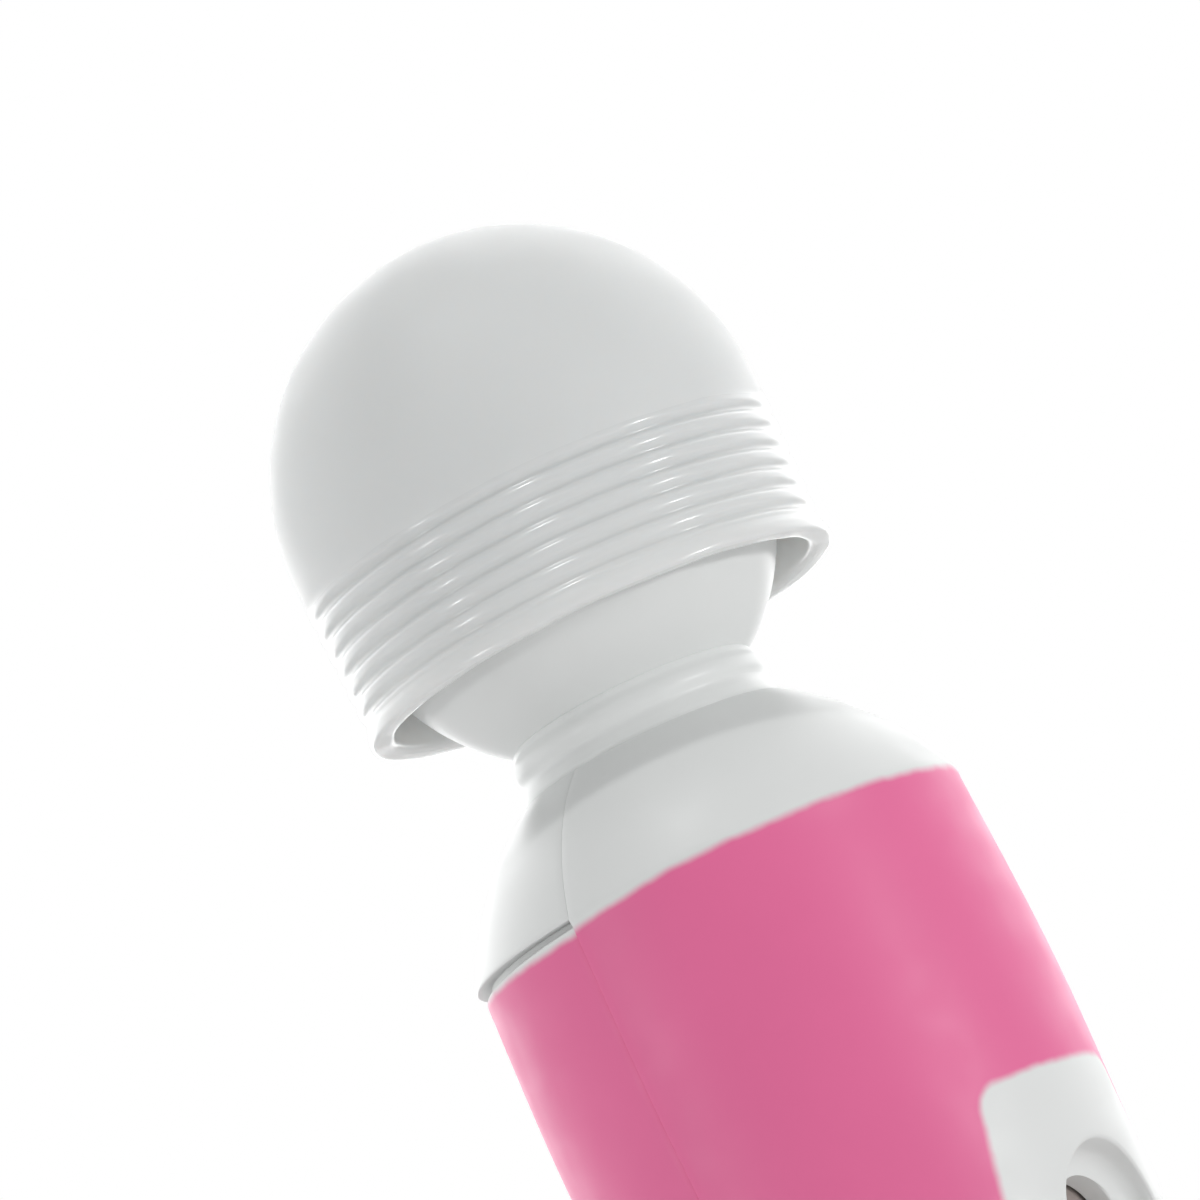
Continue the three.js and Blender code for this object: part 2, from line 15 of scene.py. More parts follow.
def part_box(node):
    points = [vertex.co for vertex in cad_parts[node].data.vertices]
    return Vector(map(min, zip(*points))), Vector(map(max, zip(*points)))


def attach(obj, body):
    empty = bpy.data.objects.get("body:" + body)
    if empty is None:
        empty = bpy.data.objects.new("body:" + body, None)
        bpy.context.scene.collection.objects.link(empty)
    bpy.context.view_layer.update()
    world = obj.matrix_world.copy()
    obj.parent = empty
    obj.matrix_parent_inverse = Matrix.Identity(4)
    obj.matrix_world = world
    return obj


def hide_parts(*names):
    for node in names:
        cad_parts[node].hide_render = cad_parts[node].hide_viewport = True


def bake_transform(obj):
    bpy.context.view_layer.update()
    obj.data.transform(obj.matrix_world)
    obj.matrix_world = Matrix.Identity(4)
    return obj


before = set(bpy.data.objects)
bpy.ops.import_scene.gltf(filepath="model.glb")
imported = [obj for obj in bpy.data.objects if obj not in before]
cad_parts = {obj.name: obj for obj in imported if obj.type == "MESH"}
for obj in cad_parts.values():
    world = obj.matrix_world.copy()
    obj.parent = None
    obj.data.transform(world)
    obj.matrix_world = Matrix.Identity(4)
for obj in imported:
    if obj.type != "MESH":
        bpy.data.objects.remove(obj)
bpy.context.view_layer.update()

# %% [markdown]
# ## Sizes
# Moulders draw in millimetres, so this script does too, and turns to metres only when a mesh is
# made. The main heights and radii could be typed in again, but reading them from the frame's
# pieces keeps the looks and the mechanism together when the design changes.

# %% Read the main sizes from the frame
MM = 0.001


def box_mm(node):
    low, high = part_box(node)
    return low / MM, high / MM


cap_low, cap_high = box_mm("head_cap")
CAP_R = (cap_high.x - cap_low.x) / 2
HEAD_Z = cap_high.z - CAP_R
CAP_FOOT = cap_low.z
MOUTH_Z = box_mm("front_shell")[1].z
COVER_TOP = box_mm("battery_cover")[1].z
print(f"cap radius {CAP_R:.2f}, head centre {HEAD_Z:.1f}, mouth of the handle {MOUTH_Z:.1f}")

# %% [markdown]
# ## Drawing tools
# Nearly every piece here is turned or moulded, so its shape is an outline of radius against
# height. Arcs, fillets and one smooth curve through a few points draw every outline; a machinist
# would use the same three.

# %% Outlines from arcs, fillets and a smooth curve


def arc(centre_r, centre_z, radius, start, stop, steps):
    turn = [math.radians(start + (stop - start) * i / steps) for i in range(steps + 1)]
    return [(centre_r + radius * math.cos(a), centre_z + radius * math.sin(a)) for a in turn]


def filleted(corners, steps=4):
    """Rounds each (r, z, fillet) corner of an outline; the two ends stay as they are."""
    points = [corners[0][:2]]
    for before, here, after in zip(corners, corners[1:], corners[2:]):
        here_v = Vector(here[:2])
        to_before = Vector(before[:2]) - here_v
        to_after = Vector(after[:2]) - here_v
        reach = min(here[2], to_before.length / 2, to_after.length / 2)
        if reach <= 0:
            points.append(here[:2])
            continue
        first = here_v + to_before.normalized() * reach
        last = here_v + to_after.normalized() * reach
        for i in range(steps + 1):
            t = i / steps
            p = first * (1 - t) ** 2 + here_v * 2 * t * (1 - t) + last * t**2
            points.append((p.x, p.y))
    points.append(corners[-1][:2])
    return points


def smooth_through(points, steps):
    """A Catmull-Rom curve through the points, which may have two or three coordinates."""
    knots = [Vector(p) for p in points]
    knots = [knots[0]] + knots + [knots[-1]]
    curve = []
    for a, b, c, d in zip(knots, knots[1:], knots[2:], knots[3:]):
        for i in range(steps):
            t = i / steps
            curve.append(0.5 * ((2 * b) + (c - a) * t + (2 * a - 5 * b + 4 * c - d) * t**2
                                + (3 * b - a - 3 * c + d) * t**3))
    return [tuple(p) for p in curve] + [tuple(knots[-1])]


def resampled(points, count):
    """The same outline with `count` points, evenly spaced along it."""
    knots = [Vector(p) for p in points]
    spans = [(b - a).length for a, b in zip(knots, knots[1:])]
    even = []
    for i in range(count):
        left = sum(spans) * i / (count - 1)
        k = 0
        while k < len(spans) - 1 and left > spans[k]:
            left -= spans[k]
            k += 1
        even.append(tuple(knots[k].lerp(knots[k + 1], min(1, left / max(spans[k], 1e-9)))))
    return even


print("a quarter arc has", len(arc(0, 0, 1, 0, 90, 8)), "points")

# %% [markdown]
# ## From outline to mesh
# An outline becomes rows of points, and rows become quads. Blender's Spin and Screw tools do the
# same by hand. Code is chosen because a moulding is cut along flat parting planes, and each row
# can end exactly on the plane.

# %% Rows, quads and finished pieces


def turned_rows(outline, columns):
    """Full circles of points, one for each outline point."""
    turn = [2 * math.pi * j / columns for j in range(columns)]
    return [[(r * math.cos(a), r * math.sin(a), z) for a in turn] for r, z in outline]


def half_rows(outline, plane_y, side, columns, seam_drop=0.04, shape=None):
    """Rows on one side of the plane y = plane_y: side -1 is the front and +1 the back.
    The last point at each end is pulled in by seam_drop, which softens the parting edge.
    shape(r, z, angle) may move a point of the outline as the row goes round."""
    rows = []
    for r, z in outline:
        lean = math.asin(max(-1, min(1, plane_y / r)))
        start, stop = (math.pi - lean, 2 * math.pi + lean) if side < 0 else (lean, math.pi - lean)
        edge = 0.12 / (math.pi * r)
        shares = [0] + [edge + (1 - 2 * edge) * j / (columns - 2) for j in range(columns - 1)] + [1]
        row = []
        for share in shares:
            a = start + (stop - start) * share
            radius, height = shape(r, z, a) if shape else (r, z)
            if share in (0, 1):
                radius -= seam_drop
            y = plane_y if share in (0, 1) else radius * math.sin(a)
            row.append((radius * math.cos(a), y, height))
        rows.append(row)
    return rows


def quads(row_count, column_count, closed, skip=None, first=0):
    faces = []
    for i in range(row_count - 1):
        for j in range(column_count if closed else column_count - 1):
            if skip and skip(i, j):
                continue
            k = (j + 1) % column_count
            a, b = first + i * column_count, first + (i + 1) * column_count
            faces.append((a + j, a + k, b + k, b + j))
    return faces


def flat(rows):
    return [p for row in rows for p in row]


def make_piece(name, points, faces, body, slot, finish, replaces, sharp=35):
    """A finished object in metres: doubles merged, faces pointing out, riding on its body."""
    mesh = bpy.data.meshes.new(name)
    mesh.from_pydata([Vector(p) * MM for p in points], [], faces)
    bm = bmesh.new()
    bm.from_mesh(mesh)
    bmesh.ops.remove_doubles(bm, verts=bm.verts, dist=2e-6)
    bmesh.ops.dissolve_degenerate(bm, edges=bm.edges, dist=1e-7)
    bmesh.ops.recalc_face_normals(bm, faces=bm.faces)
    open_edges = sum(1 for e in bm.edges if len(e.link_faces) != 2)
    bm.to_mesh(mesh)
    bm.free()
    mesh.shade_smooth()
    mesh.set_sharp_from_angle(angle=math.radians(sharp))
    mesh.materials.append(finish)
    piece = bpy.data.objects.new(name, mesh)
    bpy.context.scene.collection.objects.link(piece)
    if body:
        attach(piece, body)
    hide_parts(*replaces)
    print(f"{name}: {len(mesh.polygons)} faces, {open_edges} open edges")
    return piece


def turned_piece(name, outline, body, slot, finish, replaces, columns=96, wobble=None):
    """A turned solid. The outline starts and ends on the axis, or else closes on itself."""
    ring_shaped = outline[0][0] > 1e-6
    if ring_shaped:
        outline = outline + [outline[0]]
    rows = turned_rows(outline, columns)
    points = [Vector(p) for p in flat(rows)]
    if wobble:
        points = [wobble(p) for p in points]
    return make_piece(name, points, quads(len(rows), columns, True), body, slot, finish, replaces)


# %% [markdown]
# ## Finishes
# Moulded ABS is not one flat colour: it has a fine spark-eroded grain, faint flow marks and a
# gloss that wanders a little. An image texture could hold all that, but noise in the material
# has no seams and no resolution, so each finish below is a few noises feeding colour, roughness
# and bump.

# %% A finish built from noises


class Finish:
    """A material under construction, with the node calls that every finish repeats."""

    def __init__(self, name):
        self.material = bpy.data.materials.new(name)
        self.material.use_nodes = True
        self.nodes = self.material.node_tree.nodes
        self.links = self.material.node_tree.links
        self.shader = self.nodes["Principled BSDF"]
        self.place = self.node("ShaderNodeTexCoord").outputs["Object"]

    def node(self, kind, inputs=(), **settings):
        made = self.nodes.new(kind)
        for key, value in settings.items():
            setattr(made, key, value)
        for key, value in dict(inputs).items():
            if isinstance(value, bpy.types.NodeSocket):
                self.links.new(value, made.inputs[key])
            else:
                made.inputs[key].default_value = value
        return made

    def noise(self, scale, detail=3):
        texture = self.node("ShaderNodeTexNoise", {"Vector": self.place, "Scale": scale, "Detail": detail})
        return texture.outputs["Fac"]

    def ranged(self, value, low, high, new_low, new_high, kind="SMOOTHSTEP"):
        made = self.node("ShaderNodeMapRange", {
            "Value": value, "From Min": low, "From Max": high, "To Min": new_low, "To Max": new_high})
        made.interpolation_type = kind
        return made.outputs["Result"]

    def maths(self, operation, first, second=0.0):
        return self.node("ShaderNodeMath", {0: first, 1: second}, operation=operation).outputs[0]

    def blend(self, amount, first, second):
        mixer = self.node("ShaderNodeMix", data_type="RGBA")
        for socket, value in ((0, amount), (6, first), (7, second)):
            if isinstance(value, bpy.types.NodeSocket):
                self.links.new(value, mixer.inputs[socket])
            else:
                mixer.inputs[socket].default_value = value
        return mixer.outputs[2]

    def set(self, **values):
        for key, value in values.items():
            socket = self.shader.inputs[key.replace("_", " ")]
            if isinstance(value, bpy.types.NodeSocket):
                self.links.new(value, socket)
            else:
                socket.default_value = value

    def bump(self, layers):
        """Stacks (height, distance in mm, strength) layers of bump."""
        normal = None
        for height, distance, strength in layers:
            inputs = {"Height": height, "Distance": distance * MM, "Strength": strength}
            if normal:
                inputs["Normal"] = normal
            normal = self.node("ShaderNodeBump", inputs).outputs["Normal"]
        self.links.new(normal, self.shader.inputs["Normal"])


def colour(red, green, blue):
    """A display colour, 0 to 255, as the linear colour that a shader takes."""
    def linear(c):
        c /= 255
        return c / 12.92 if c <= 0.04045 else ((c + 0.055) / 1.055) ** 2.4
    return (linear(red), linear(green), linear(blue), 1)


def shaded(base, factor):
    return tuple(c * factor for c in base[:3]) + (1,)


print("display grey 200 is linear", round(colour(200, 200, 200)[0], 3))

# %% [markdown]
# ## White plastic, soft white and plain inner plastics
# The shells are glossy ABS, the cap and the neck a soft elastomer with a duller, slightly oily
# sheen. Both are near-white with a cool cast. One recipe with different numbers serves every
# moulded part, because real parts share the process too: grain, flow marks, wandering gloss.

# %% The moulded recipe
FLOW_MARKS = 35
FLOW_TINT = 0.03


def moulded(name, base, roughness, grain=900, grain_depth=0.004, see_through=0.0, polished_below=None):
    f = Finish(name)
    marks = f.noise(FLOW_MARKS, 4)
    f.set(Base_Color=f.blend(f.ranged(marks, 0.2, 0.8, 0, 1), shaded(base, 1 - FLOW_TINT), base))
    gloss = f.ranged(f.noise(FLOW_MARKS * 3, 3), 0.2, 0.8, 0.85, 1.15)
    level = roughness
    if polished_below:
        height = f.node("ShaderNodeSeparateXYZ", {"Vector": f.place}).outputs["Z"]
        level = f.ranged(height, polished_below, polished_below + 0.001, POLISHED, roughness)
    f.set(Roughness=f.maths("MULTIPLY", gloss, level))
    f.set(IOR=1.5)
    if see_through:
        f.set(Subsurface_Weight=see_through, Subsurface_Scale=0.004)
        f.shader.inputs["Subsurface Radius"].default_value = (1, 0.9, 0.85)
    f.bump([(f.noise(grain, 2), grain_depth, 0.5), (marks, 0.03, 0.15)])
    return f.material


POLISHED = 0.2
RIDGES_FROM = 176.4 * MM
WHITE = colour(236, 238, 237)
SOFT = colour(233, 235, 234)
white_abs = moulded("white_abs", WHITE, 0.37)
soft_elastomer = moulded("soft_elastomer", SOFT, 0.5, grain=700, grain_depth=0.006, see_through=0.6,
                         polished_below=RIDGES_FROM)
# Lighter than the cap's white although it is the same elastomer: painted light that offsets the shade the cap
# casts on the neck.
neck_elastomer_lightened = moulded("neck_elastomer_lightened", colour(244, 246, 245), 0.38, grain=700, grain_depth=0.006)
grey_nylon = moulded("grey_nylon", colour(150, 150, 152), 0.5)
# A grey darker than the skirt's real plastic: painted shade for the shade inside the slot.
slot_shade_grey = moulded("skirt_painted_shade_grey", colour(168, 157, 152), 0.5)
black_nylon = moulded("black_nylon", colour(34, 34, 36), 0.45)
damping_rubber = moulded("damping_rubber", colour(28, 28, 28), 0.7, grain=400, grain_depth=0.02)
print("moulded finishes:", [m.name for m in (white_abs, soft_elastomer, grey_nylon, black_nylon)])

# %% [markdown]
# ## The pink paint
# The shells are moulded white and sprayed pink through a mask, which leaves a soft edge with a
# little overspray, unlike a sticker's hard one. The edge could be cut into the mesh, but paint is
# thinner than a hair, so the mask is drawn in the material: heights for the shoulder's edge, and a
# rounded panel for the bare area round the thumb slider.

# %% Pink over white, through a soft mask
PAINT_TOP = 143.45
PAINT_DIP = 0.7
PAINT_BLUR = 0.42
PANEL = {"middle": 93.0, "half_height": 25.5, "half_width": 11.75, "corner": 1.7, "narrowing": 2.5}
PINK = colour(246, 116, 168)


def painted(name, top, panel=None):
    f = Finish(name)
    spot = f.node("ShaderNodeSeparateXYZ", {"Vector": f.place})
    x, y, z = (f.maths("MULTIPLY", spot.outputs[axis], 1 / MM) for axis in ("X", "Y", "Z"))
    edge = f.ranged(y, -9, 0.5, top, top - PAINT_DIP, "LINEAR")
    rough_edge = f.ranged(f.noise(420, 2), 0.3, 0.7, -0.06, 0.06)
    slow_edge = f.ranged(f.noise(60, 2), 0.3, 0.7, -0.08, 0.08)
    jitter = f.maths("ADD", rough_edge, slow_edge)
    below = f.maths("ADD", f.maths("SUBTRACT", edge, z), jitter)
    mask = f.ranged(below, -PAINT_BLUR, PAINT_BLUR, 0, 1)
    if panel:
        rise = f.maths("ABSOLUTE", f.maths("SUBTRACT", z, panel["middle"]))
        share = f.maths("POWER", f.maths("DIVIDE", rise, panel["half_height"]), 2.0)
        half = f.maths("SUBTRACT", panel["half_width"], f.maths("MULTIPLY", share, panel["narrowing"]))
        corner = panel["corner"]
        out_x = f.maths("SUBTRACT", f.maths("ABSOLUTE", x), f.maths("SUBTRACT", half, corner))
        out_z = f.maths("SUBTRACT", rise, panel["half_height"] - corner)
        over_x, over_z = f.maths("MAXIMUM", out_x, 0.0), f.maths("MAXIMUM", out_z, 0.0)
        round_out = f.maths("SQRT", f.maths("ADD", f.maths("POWER", over_x, 2.0),
                                            f.maths("POWER", over_z, 2.0)))
        inside = f.maths("MINIMUM", f.maths("MAXIMUM", out_x, out_z), 0.0)
        outside = f.maths("ADD", f.maths("SUBTRACT", f.maths("ADD", round_out, inside), corner), jitter)
        front = f.ranged(y, -6, -4, 0, 1)
        bare = f.maths("MAXIMUM", f.ranged(outside, -PAINT_BLUR, PAINT_BLUR, 0, 1), front)
        mask = f.maths("MULTIPLY", mask, bare)
    clouds = f.noise(28, 3)
    paint = f.blend(f.ranged(clouds, 0.2, 0.8, 0, 1), shaded(PINK, 0.93), PINK)
    f.set(Base_Color=f.blend(mask, WHITE, paint))
    peel = f.noise(240, 2)
    gloss = f.ranged(peel, 0.3, 0.7, 0.42, 0.5)
    f.set(Roughness=gloss, IOR=1.5)
    f.bump([(mask, 0.03, 0.6), (peel, 0.012, 0.25), (f.noise(1100, 1), 0.003, 0.4)])
    return f.material


shell_paint = painted("shell_paint", PAINT_TOP, PANEL)
cover_paint = painted("cover_paint", COVER_TOP + 0.3)
print("paint starts", round(MOUTH_Z - PAINT_TOP, 1), "mm below the mouth of the handle")

# %% [markdown]
# ## Metals, board, sleeves and wires
# The parts behind the cover need to read as metal, film and insulation when it is slid off. Metal
# gets its life from fine scratches in the roughness, so one recipe takes a colour and a gloss;
# the others are short.

# %% Metal and electrical finishes
SCRATCH_SCALE = (40, 40, 900)


def metal(name, base, roughness):
    f = Finish(name)
    f.place = f.node("ShaderNodeMapping", {"Vector": f.place, "Scale": SCRATCH_SCALE}).outputs["Vector"]
    scratches = f.noise(6, 4)
    f.set(Base_Color=f.blend(f.ranged(scratches, 0.3, 0.7, 0, 1), shaded(base, 0.9), base))
    f.set(Metallic=1.0, Roughness=f.ranged(scratches, 0.3, 0.7, roughness * 0.8, roughness * 1.3))
    f.bump([(scratches, 0.004, 0.3)])
    return f.material


plated_steel = metal("plated_steel", colour(205, 207, 210), 0.28)
turned_brass = metal("turned_brass", colour(214, 178, 104), 0.3)
bright_copper = metal("bright_copper", colour(205, 138, 98), 0.3)
iron = metal("sintered_iron", colour(92, 94, 98), 0.55)


def cell_film():
    """A cell's film sleeve, left plain and dark under its gloss."""
    f = Finish("cell_film")
    speckle = f.noise(1500, 1)
    body = f.blend(f.ranged(speckle, 0.4, 0.6, 0, 1), colour(44, 48, 54), colour(52, 56, 62))
    f.set(Base_Color=body, Metallic=0.35, Coat_Weight=0.6, Coat_Roughness=0.08)
    f.set(Roughness=f.ranged(speckle, 0.3, 0.7, 0.25, 0.36))
    f.bump([(f.noise(90, 2), 0.01, 0.2)])
    return f.material


def copper_film():
    """The band round the positive end of the same sleeve."""
    f = Finish("copper_film")
    speckle = f.noise(1500, 1)
    f.set(Base_Color=f.blend(speckle, colour(190, 112, 62), colour(206, 128, 74)))
    f.set(Metallic=0.6, Roughness=f.ranged(speckle, 0.3, 0.7, 0.22, 0.32))
    f.set(Coat_Weight=0.6, Coat_Roughness=0.08)
    return f.material


def board_green():
    f = Finish("board_green")
    tracks = f.node("ShaderNodeTexBrick", {
        "Vector": f.place, "Scale": 260.0, "Color1": colour(30, 98, 58), "Color2": colour(36, 112, 66),
        "Mortar": colour(24, 80, 48), "Mortar Size": 0.03})
    f.set(Base_Color=tracks.outputs["Color"], Coat_Weight=0.5, Coat_Roughness=0.15)
    f.set(Roughness=f.ranged(f.noise(300), 0.3, 0.7, 0.35, 0.45))
    f.bump([(tracks.outputs["Fac"], 0.02, 0.3)])
    return f.material


film = cell_film()
film_band = copper_film()
solder_mask = board_green()
red_wire = moulded("red_wire", colour(186, 40, 44), 0.4, grain=500)
black_wire = moulded("black_wire", colour(30, 30, 32), 0.4, grain=500)
print("metals:", plated_steel.name, turned_brass.name, bright_copper.name, iron.name)

# %% [markdown]
# ## The soft cap
# The cap is one elastomer moulding, stretched over the head: a plain dome, five soft ridges
# between six grooves, and a beaded rim that stands a little proud. It could be a sphere with
# modelled rings, but a single turned outline gives each ridge its rounded top and each groove its
# smooth valley. Soft mouldings are never quite true, so a slow noise lets the ridges and the rim
# wander by a few hundredths of a millimetre, which breaks up their highlights.

# %% The cap's outline, grooves first
CAP_WALL = 2.0
GROOVE_TOP = 175.7
GROOVE_PITCH = 1.71
GROOVES = 6
RIDGE_TAPER = 0.05
GROOVE_DEPTH = 0.36
GROOVE_REACH = 0.8
GROOVE_STEPS = 8


def cap_outline():
    points = arc(0, HEAD_Z, CAP_R, 90, 0, 40)
    top = GROOVE_TOP + 0.75
    points.append((CAP_R, (HEAD_Z + top) / 2))
    for i in range(GROOVES):
        z = GROOVE_TOP - i * GROOVE_PITCH
        for k in range(2 * GROOVE_STEPS + 1):
            d = GROOVE_REACH * (1 - k / GROOVE_STEPS)
            valley = (0.5 + 0.5 * math.cos(math.pi * d / GROOVE_REACH)) ** 1.4
            points.append((CAP_R - RIDGE_TAPER * (i - d / GROOVE_PITCH) - GROOVE_DEPTH * valley, z + d))
    bead = CAP_R + 0.02
    foot = CAP_FOOT
    points += filleted([
        (points[-1][0] + 0.02, points[-1][1] - 0.1, 0), (bead, foot + 0.85, 0.4),
        (bead, foot, 0.75), (CAP_R - CAP_WALL, foot, 0.7), (CAP_R - CAP_WALL, foot + 2.4, 0)], 6)
    points += [(CAP_R - CAP_WALL, foot + 5), (CAP_R - CAP_WALL, foot + 9)]
    return points + arc(0, HEAD_Z, CAP_R - CAP_WALL, 0, 90, 24)


def soft_wobble(p):
    """Moves a point of the cap out or in a little; the dome's crown stays true."""
    low = min(1, max(0, (HEAD_Z - 2 - p.z) / 4))
    slow = noise.noise(Vector((p.x, p.y, p.z * 2.2)) * 0.16)
    quick = noise.noise(Vector((p.x, p.y, p.z * 1.5)) * 0.9)
    out = Vector((p.x, p.y, 0)).normalized()
    rim = min(1, max(0, (CAP_FOOT + 2.2 - p.z) / 1.5))
    lift = rim * 0.1 * noise.noise(Vector((p.x, p.y, 40)) * 0.22)
    return p + out * low * (0.045 * slow + 0.018 * quick) + Vector((0, 0, lift))


turned_piece("cap", cap_outline(), "head", "soft_white", soft_elastomer, ["head_cap"],
             columns=200, wobble=soft_wobble)

# %% [markdown]
# ## The head's hard core
# Under the cap sits a glossy bowl whose lower half shows, and a dome that the cap hides. The bowl
# is a ball cut flat where the neck meets it, with a peg that enters the neck's spring.

# %% The bowl and the hidden dome
cup_low, cup_high = box_mm("lower_cup")
dome_low = box_mm("upper_dome")[0]
CORE_R = (cup_high.x - cup_low.x) / 2
CORE_WALL = 1.8
BALL_Z = 174.2
CUP_FLAT = 159.3


def ball_angle(radius, z):
    return math.degrees(math.asin((z - BALL_Z) / radius))


def bowl_outline():
    inner = CORE_R - CORE_WALL
    floor = CUP_FLAT + CORE_WALL
    outside = arc(0, BALL_Z, CORE_R, ball_angle(CORE_R, CUP_FLAT), 0, 30)
    inside = arc(0, BALL_Z, inner, 0, ball_angle(inner, floor), 20)
    return [(3.2, cup_low.z), (5.8, cup_low.z), (5.8, CUP_FLAT)] + outside + [
        (CORE_R, cup_high.z), (inner, cup_high.z)] + inside + [(3.2, floor)]


turned_piece("bowl", bowl_outline(), "head", "white_plastic", white_abs, ["lower_cup"], columns=128)
dome_outline = arc(0, HEAD_Z, CORE_R - CORE_WALL, 90, 0, 16) + [
    (CORE_R - CORE_WALL, dome_low.z), (CORE_R, dome_low.z)] + arc(0, HEAD_Z, CORE_R, 0, 90, 20)
turned_piece("core_dome", dome_outline, "head", "white_plastic", white_abs, ["upper_dome"])

# %% [markdown]
# ## The ribbed neck
# The neck is a soft sleeve with two round ribs, and it is what bends when the head leans. The
# frame bends it with two crossed hinges at one height, and a piece can bend across one hinge
# only, so the sleeve is made as two pieces that meet at that height.

# %% Two halves of the sleeve, split at the hinges' height
neck_low = box_mm("neck_bellows")[0]
NECK_BORE = 9.0
HINGE_Z = 157.0


def sleeve_outline(low, high):
    """The outside between two heights; the ribs stand at z 155.5 and 157.8."""
    knots = [(10.7, 150.6), (10.65, 153.0), (10.6, 154.2), (10.78, 154.8), (10.95, 155.5), (10.82, 156.2),
             (10.64, 156.7), (10.6, HINGE_Z), (10.68, 157.25), (10.92, 157.8), (10.86, 158.5),
             (10.5, 159.1), (10.3, 159.6), (9.9, 159.95)]
    return [p for p in smooth_through(knots, 6) if low - 1e-6 <= p[1] <= high + 1e-6]


def sleeve_wobble(p):
    out = Vector((p.x, p.y, 0)).normalized()
    return p + out * 0.05 * noise.noise(Vector((p.x, p.y, p.z * 1.4)) * 0.35)


lower_flange = [(NECK_BORE, neck_low.z), (12.6, neck_low.z), (12.6, 150.6)]
lower_sleeve = turned_piece(
    "neck_lower", lower_flange + sleeve_outline(150, HINGE_Z) + [(NECK_BORE, HINGE_Z)],
    None, "soft_white", neck_elastomer_lightened, ["neck_bellows"], columns=128, wobble=sleeve_wobble)
upper_sleeve = turned_piece(
    "neck_upper", [(NECK_BORE, HINGE_Z)] + sleeve_outline(HINGE_Z, 160) + [(NECK_BORE, 159.6)],
    None, "soft_white", neck_elastomer_lightened, ["neck_bellows"], columns=128, wobble=sleeve_wobble)
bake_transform(lower_sleeve)
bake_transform(upper_sleeve)

# %% [markdown]
# ## The handle's outline
# Front shell, back shoulder and cover are one smooth body cut along planes, so they share one
# outline: a rounded tail, a slim waist, a fuller upper end and a domed shoulder with a small edge
# at its foot. Seven points and two arcs hold all of it.

# %% The shared outline
TAIL_FILLET = 5.0
TAIL_R = 20.3
SIDE_POINTS = [(20.3, 5), (19.9, 28), (19.5, 55), (20.0, 86), (20.8, 109), (21.35, 127), (20.85, 143.2)]
ROWS_BELOW, DISH_ROWS, ROWS_ABOVE = 24, 42, 18
DISH_ROWS_FROM, SIDE_TOP = 73, 143
SHOULDER = {"r": -3.0, "z": 133.7, "radius": 25.9, "foot": 143.65, "mouth": 11.35}
WALL = 1.8
side_curve = smooth_through(SIDE_POINTS, 24)


def side_radius(z):
    """Radius of the painted side at a height, from the smooth curve."""
    for (r0, z0), (r1, z1) in zip(side_curve, side_curve[1:]):
        if z0 <= z <= z1:
            return r0 + (r1 - r0) * (z - z0) / max(z1 - z0, 1e-9)
    return side_curve[-1][0]


def shoulder_arc(wall, steps, mouth):
    radius = SHOULDER["radius"] - wall
    foot = math.degrees(math.asin((SHOULDER["foot"] - SHOULDER["z"]) / radius))
    top = math.degrees(math.acos((mouth - SHOULDER["r"]) / radius))
    return arc(SHOULDER["r"], SHOULDER["z"], radius, foot, top, steps)


side_heights = [TAIL_FILLET + (DISH_ROWS_FROM - TAIL_FILLET) * i / ROWS_BELOW for i in range(ROWS_BELOW)]
side_heights += [DISH_ROWS_FROM + i for i in range(DISH_ROWS)]
rest_from = DISH_ROWS_FROM + DISH_ROWS
side_heights += [rest_from + (SIDE_TOP - rest_from) * i / ROWS_ABOVE for i in range(ROWS_ABOVE + 1)]
tail = arc(TAIL_R - TAIL_FILLET, TAIL_FILLET, TAIL_FILLET, -90, -6, 10)
outer_side = [(side_radius(z), z) for z in side_heights]
mouth_lip = filleted([(SHOULDER["mouth"], MOUTH_Z, 0), (11.0, MOUTH_Z, 0.25), (11.0, 153.5, 0)], 4)
outer_shell = tail + outer_side + shoulder_arc(0, 22, SHOULDER["mouth"]) + mouth_lip + [(11.0, 150.8)]
print("outline points:", len(outer_shell), " waist radius", round(side_radius(55), 2))

# %% [markdown]
# ## The front shell
# The front shell carries the thumb recess: a long dish with a soft lip, and in its floor the slot
# that the slider runs in. A boolean cut would leave a hard, ragged edge. Instead the wall is left
# open where the dish goes, and rings of points step in from that opening: over the lip, down the
# side, round the fillet, along the floor and over the slot's own edge. Every ring has the same
# number of points, so the dish is all clean quads.

# %% Skins with a window for the dish
FRONT_EDGE = 0.0
FRONT_COLUMNS = 98
window_rows = [outer_shell.index(outer_side[k]) for k in (ROWS_BELOW, ROWS_BELOW + DISH_ROWS)]
window_columns = (35, 63)


def in_window(i, j):
    return window_rows[0] <= i < window_rows[1] and window_columns[0] <= j < window_columns[1]


inner_tail = arc(TAIL_R - TAIL_FILLET, TAIL_FILLET, TAIL_FILLET - WALL, -90, -6, 10)
inner_side = [(r - WALL, z) for r, z in outer_side]
above_side = len(outer_shell) - len(tail) - len(outer_side)
inner_top = resampled(shoulder_arc(WALL, 20, 14.0) + [(13.2, 150.8)], above_side)
inner_shell = inner_tail + inner_side + inner_top
print("window rows", window_rows, "inner points", len(inner_shell))

# %% The dish and the slot, ring by ring
DISH = {"half_width": 6.0, "top": 112.0, "bottom": 78.0}
SLOT = {"half_width": 3.8, "top": 110.4, "bottom": 80.4}
DISH_FLOOR = -17.7
SLOT_BACK = -15.9


def stadium_ring(half_width, top, bottom, across, along):
    upper, lower = top - half_width, bottom + half_width
    ring = []
    for k in range(across):
        a = math.pi * (1 - k / across)
        ring.append((half_width * math.cos(a), upper + half_width * math.sin(a)))
    ring += [(half_width, upper + (lower - upper) * k / along) for k in range(along)]
    for k in range(across):
        a = -math.pi * k / across
        ring.append((half_width * math.cos(a), lower + half_width * math.sin(a)))
    return ring + [(-half_width, lower + (upper - lower) * k / along) for k in range(along)]


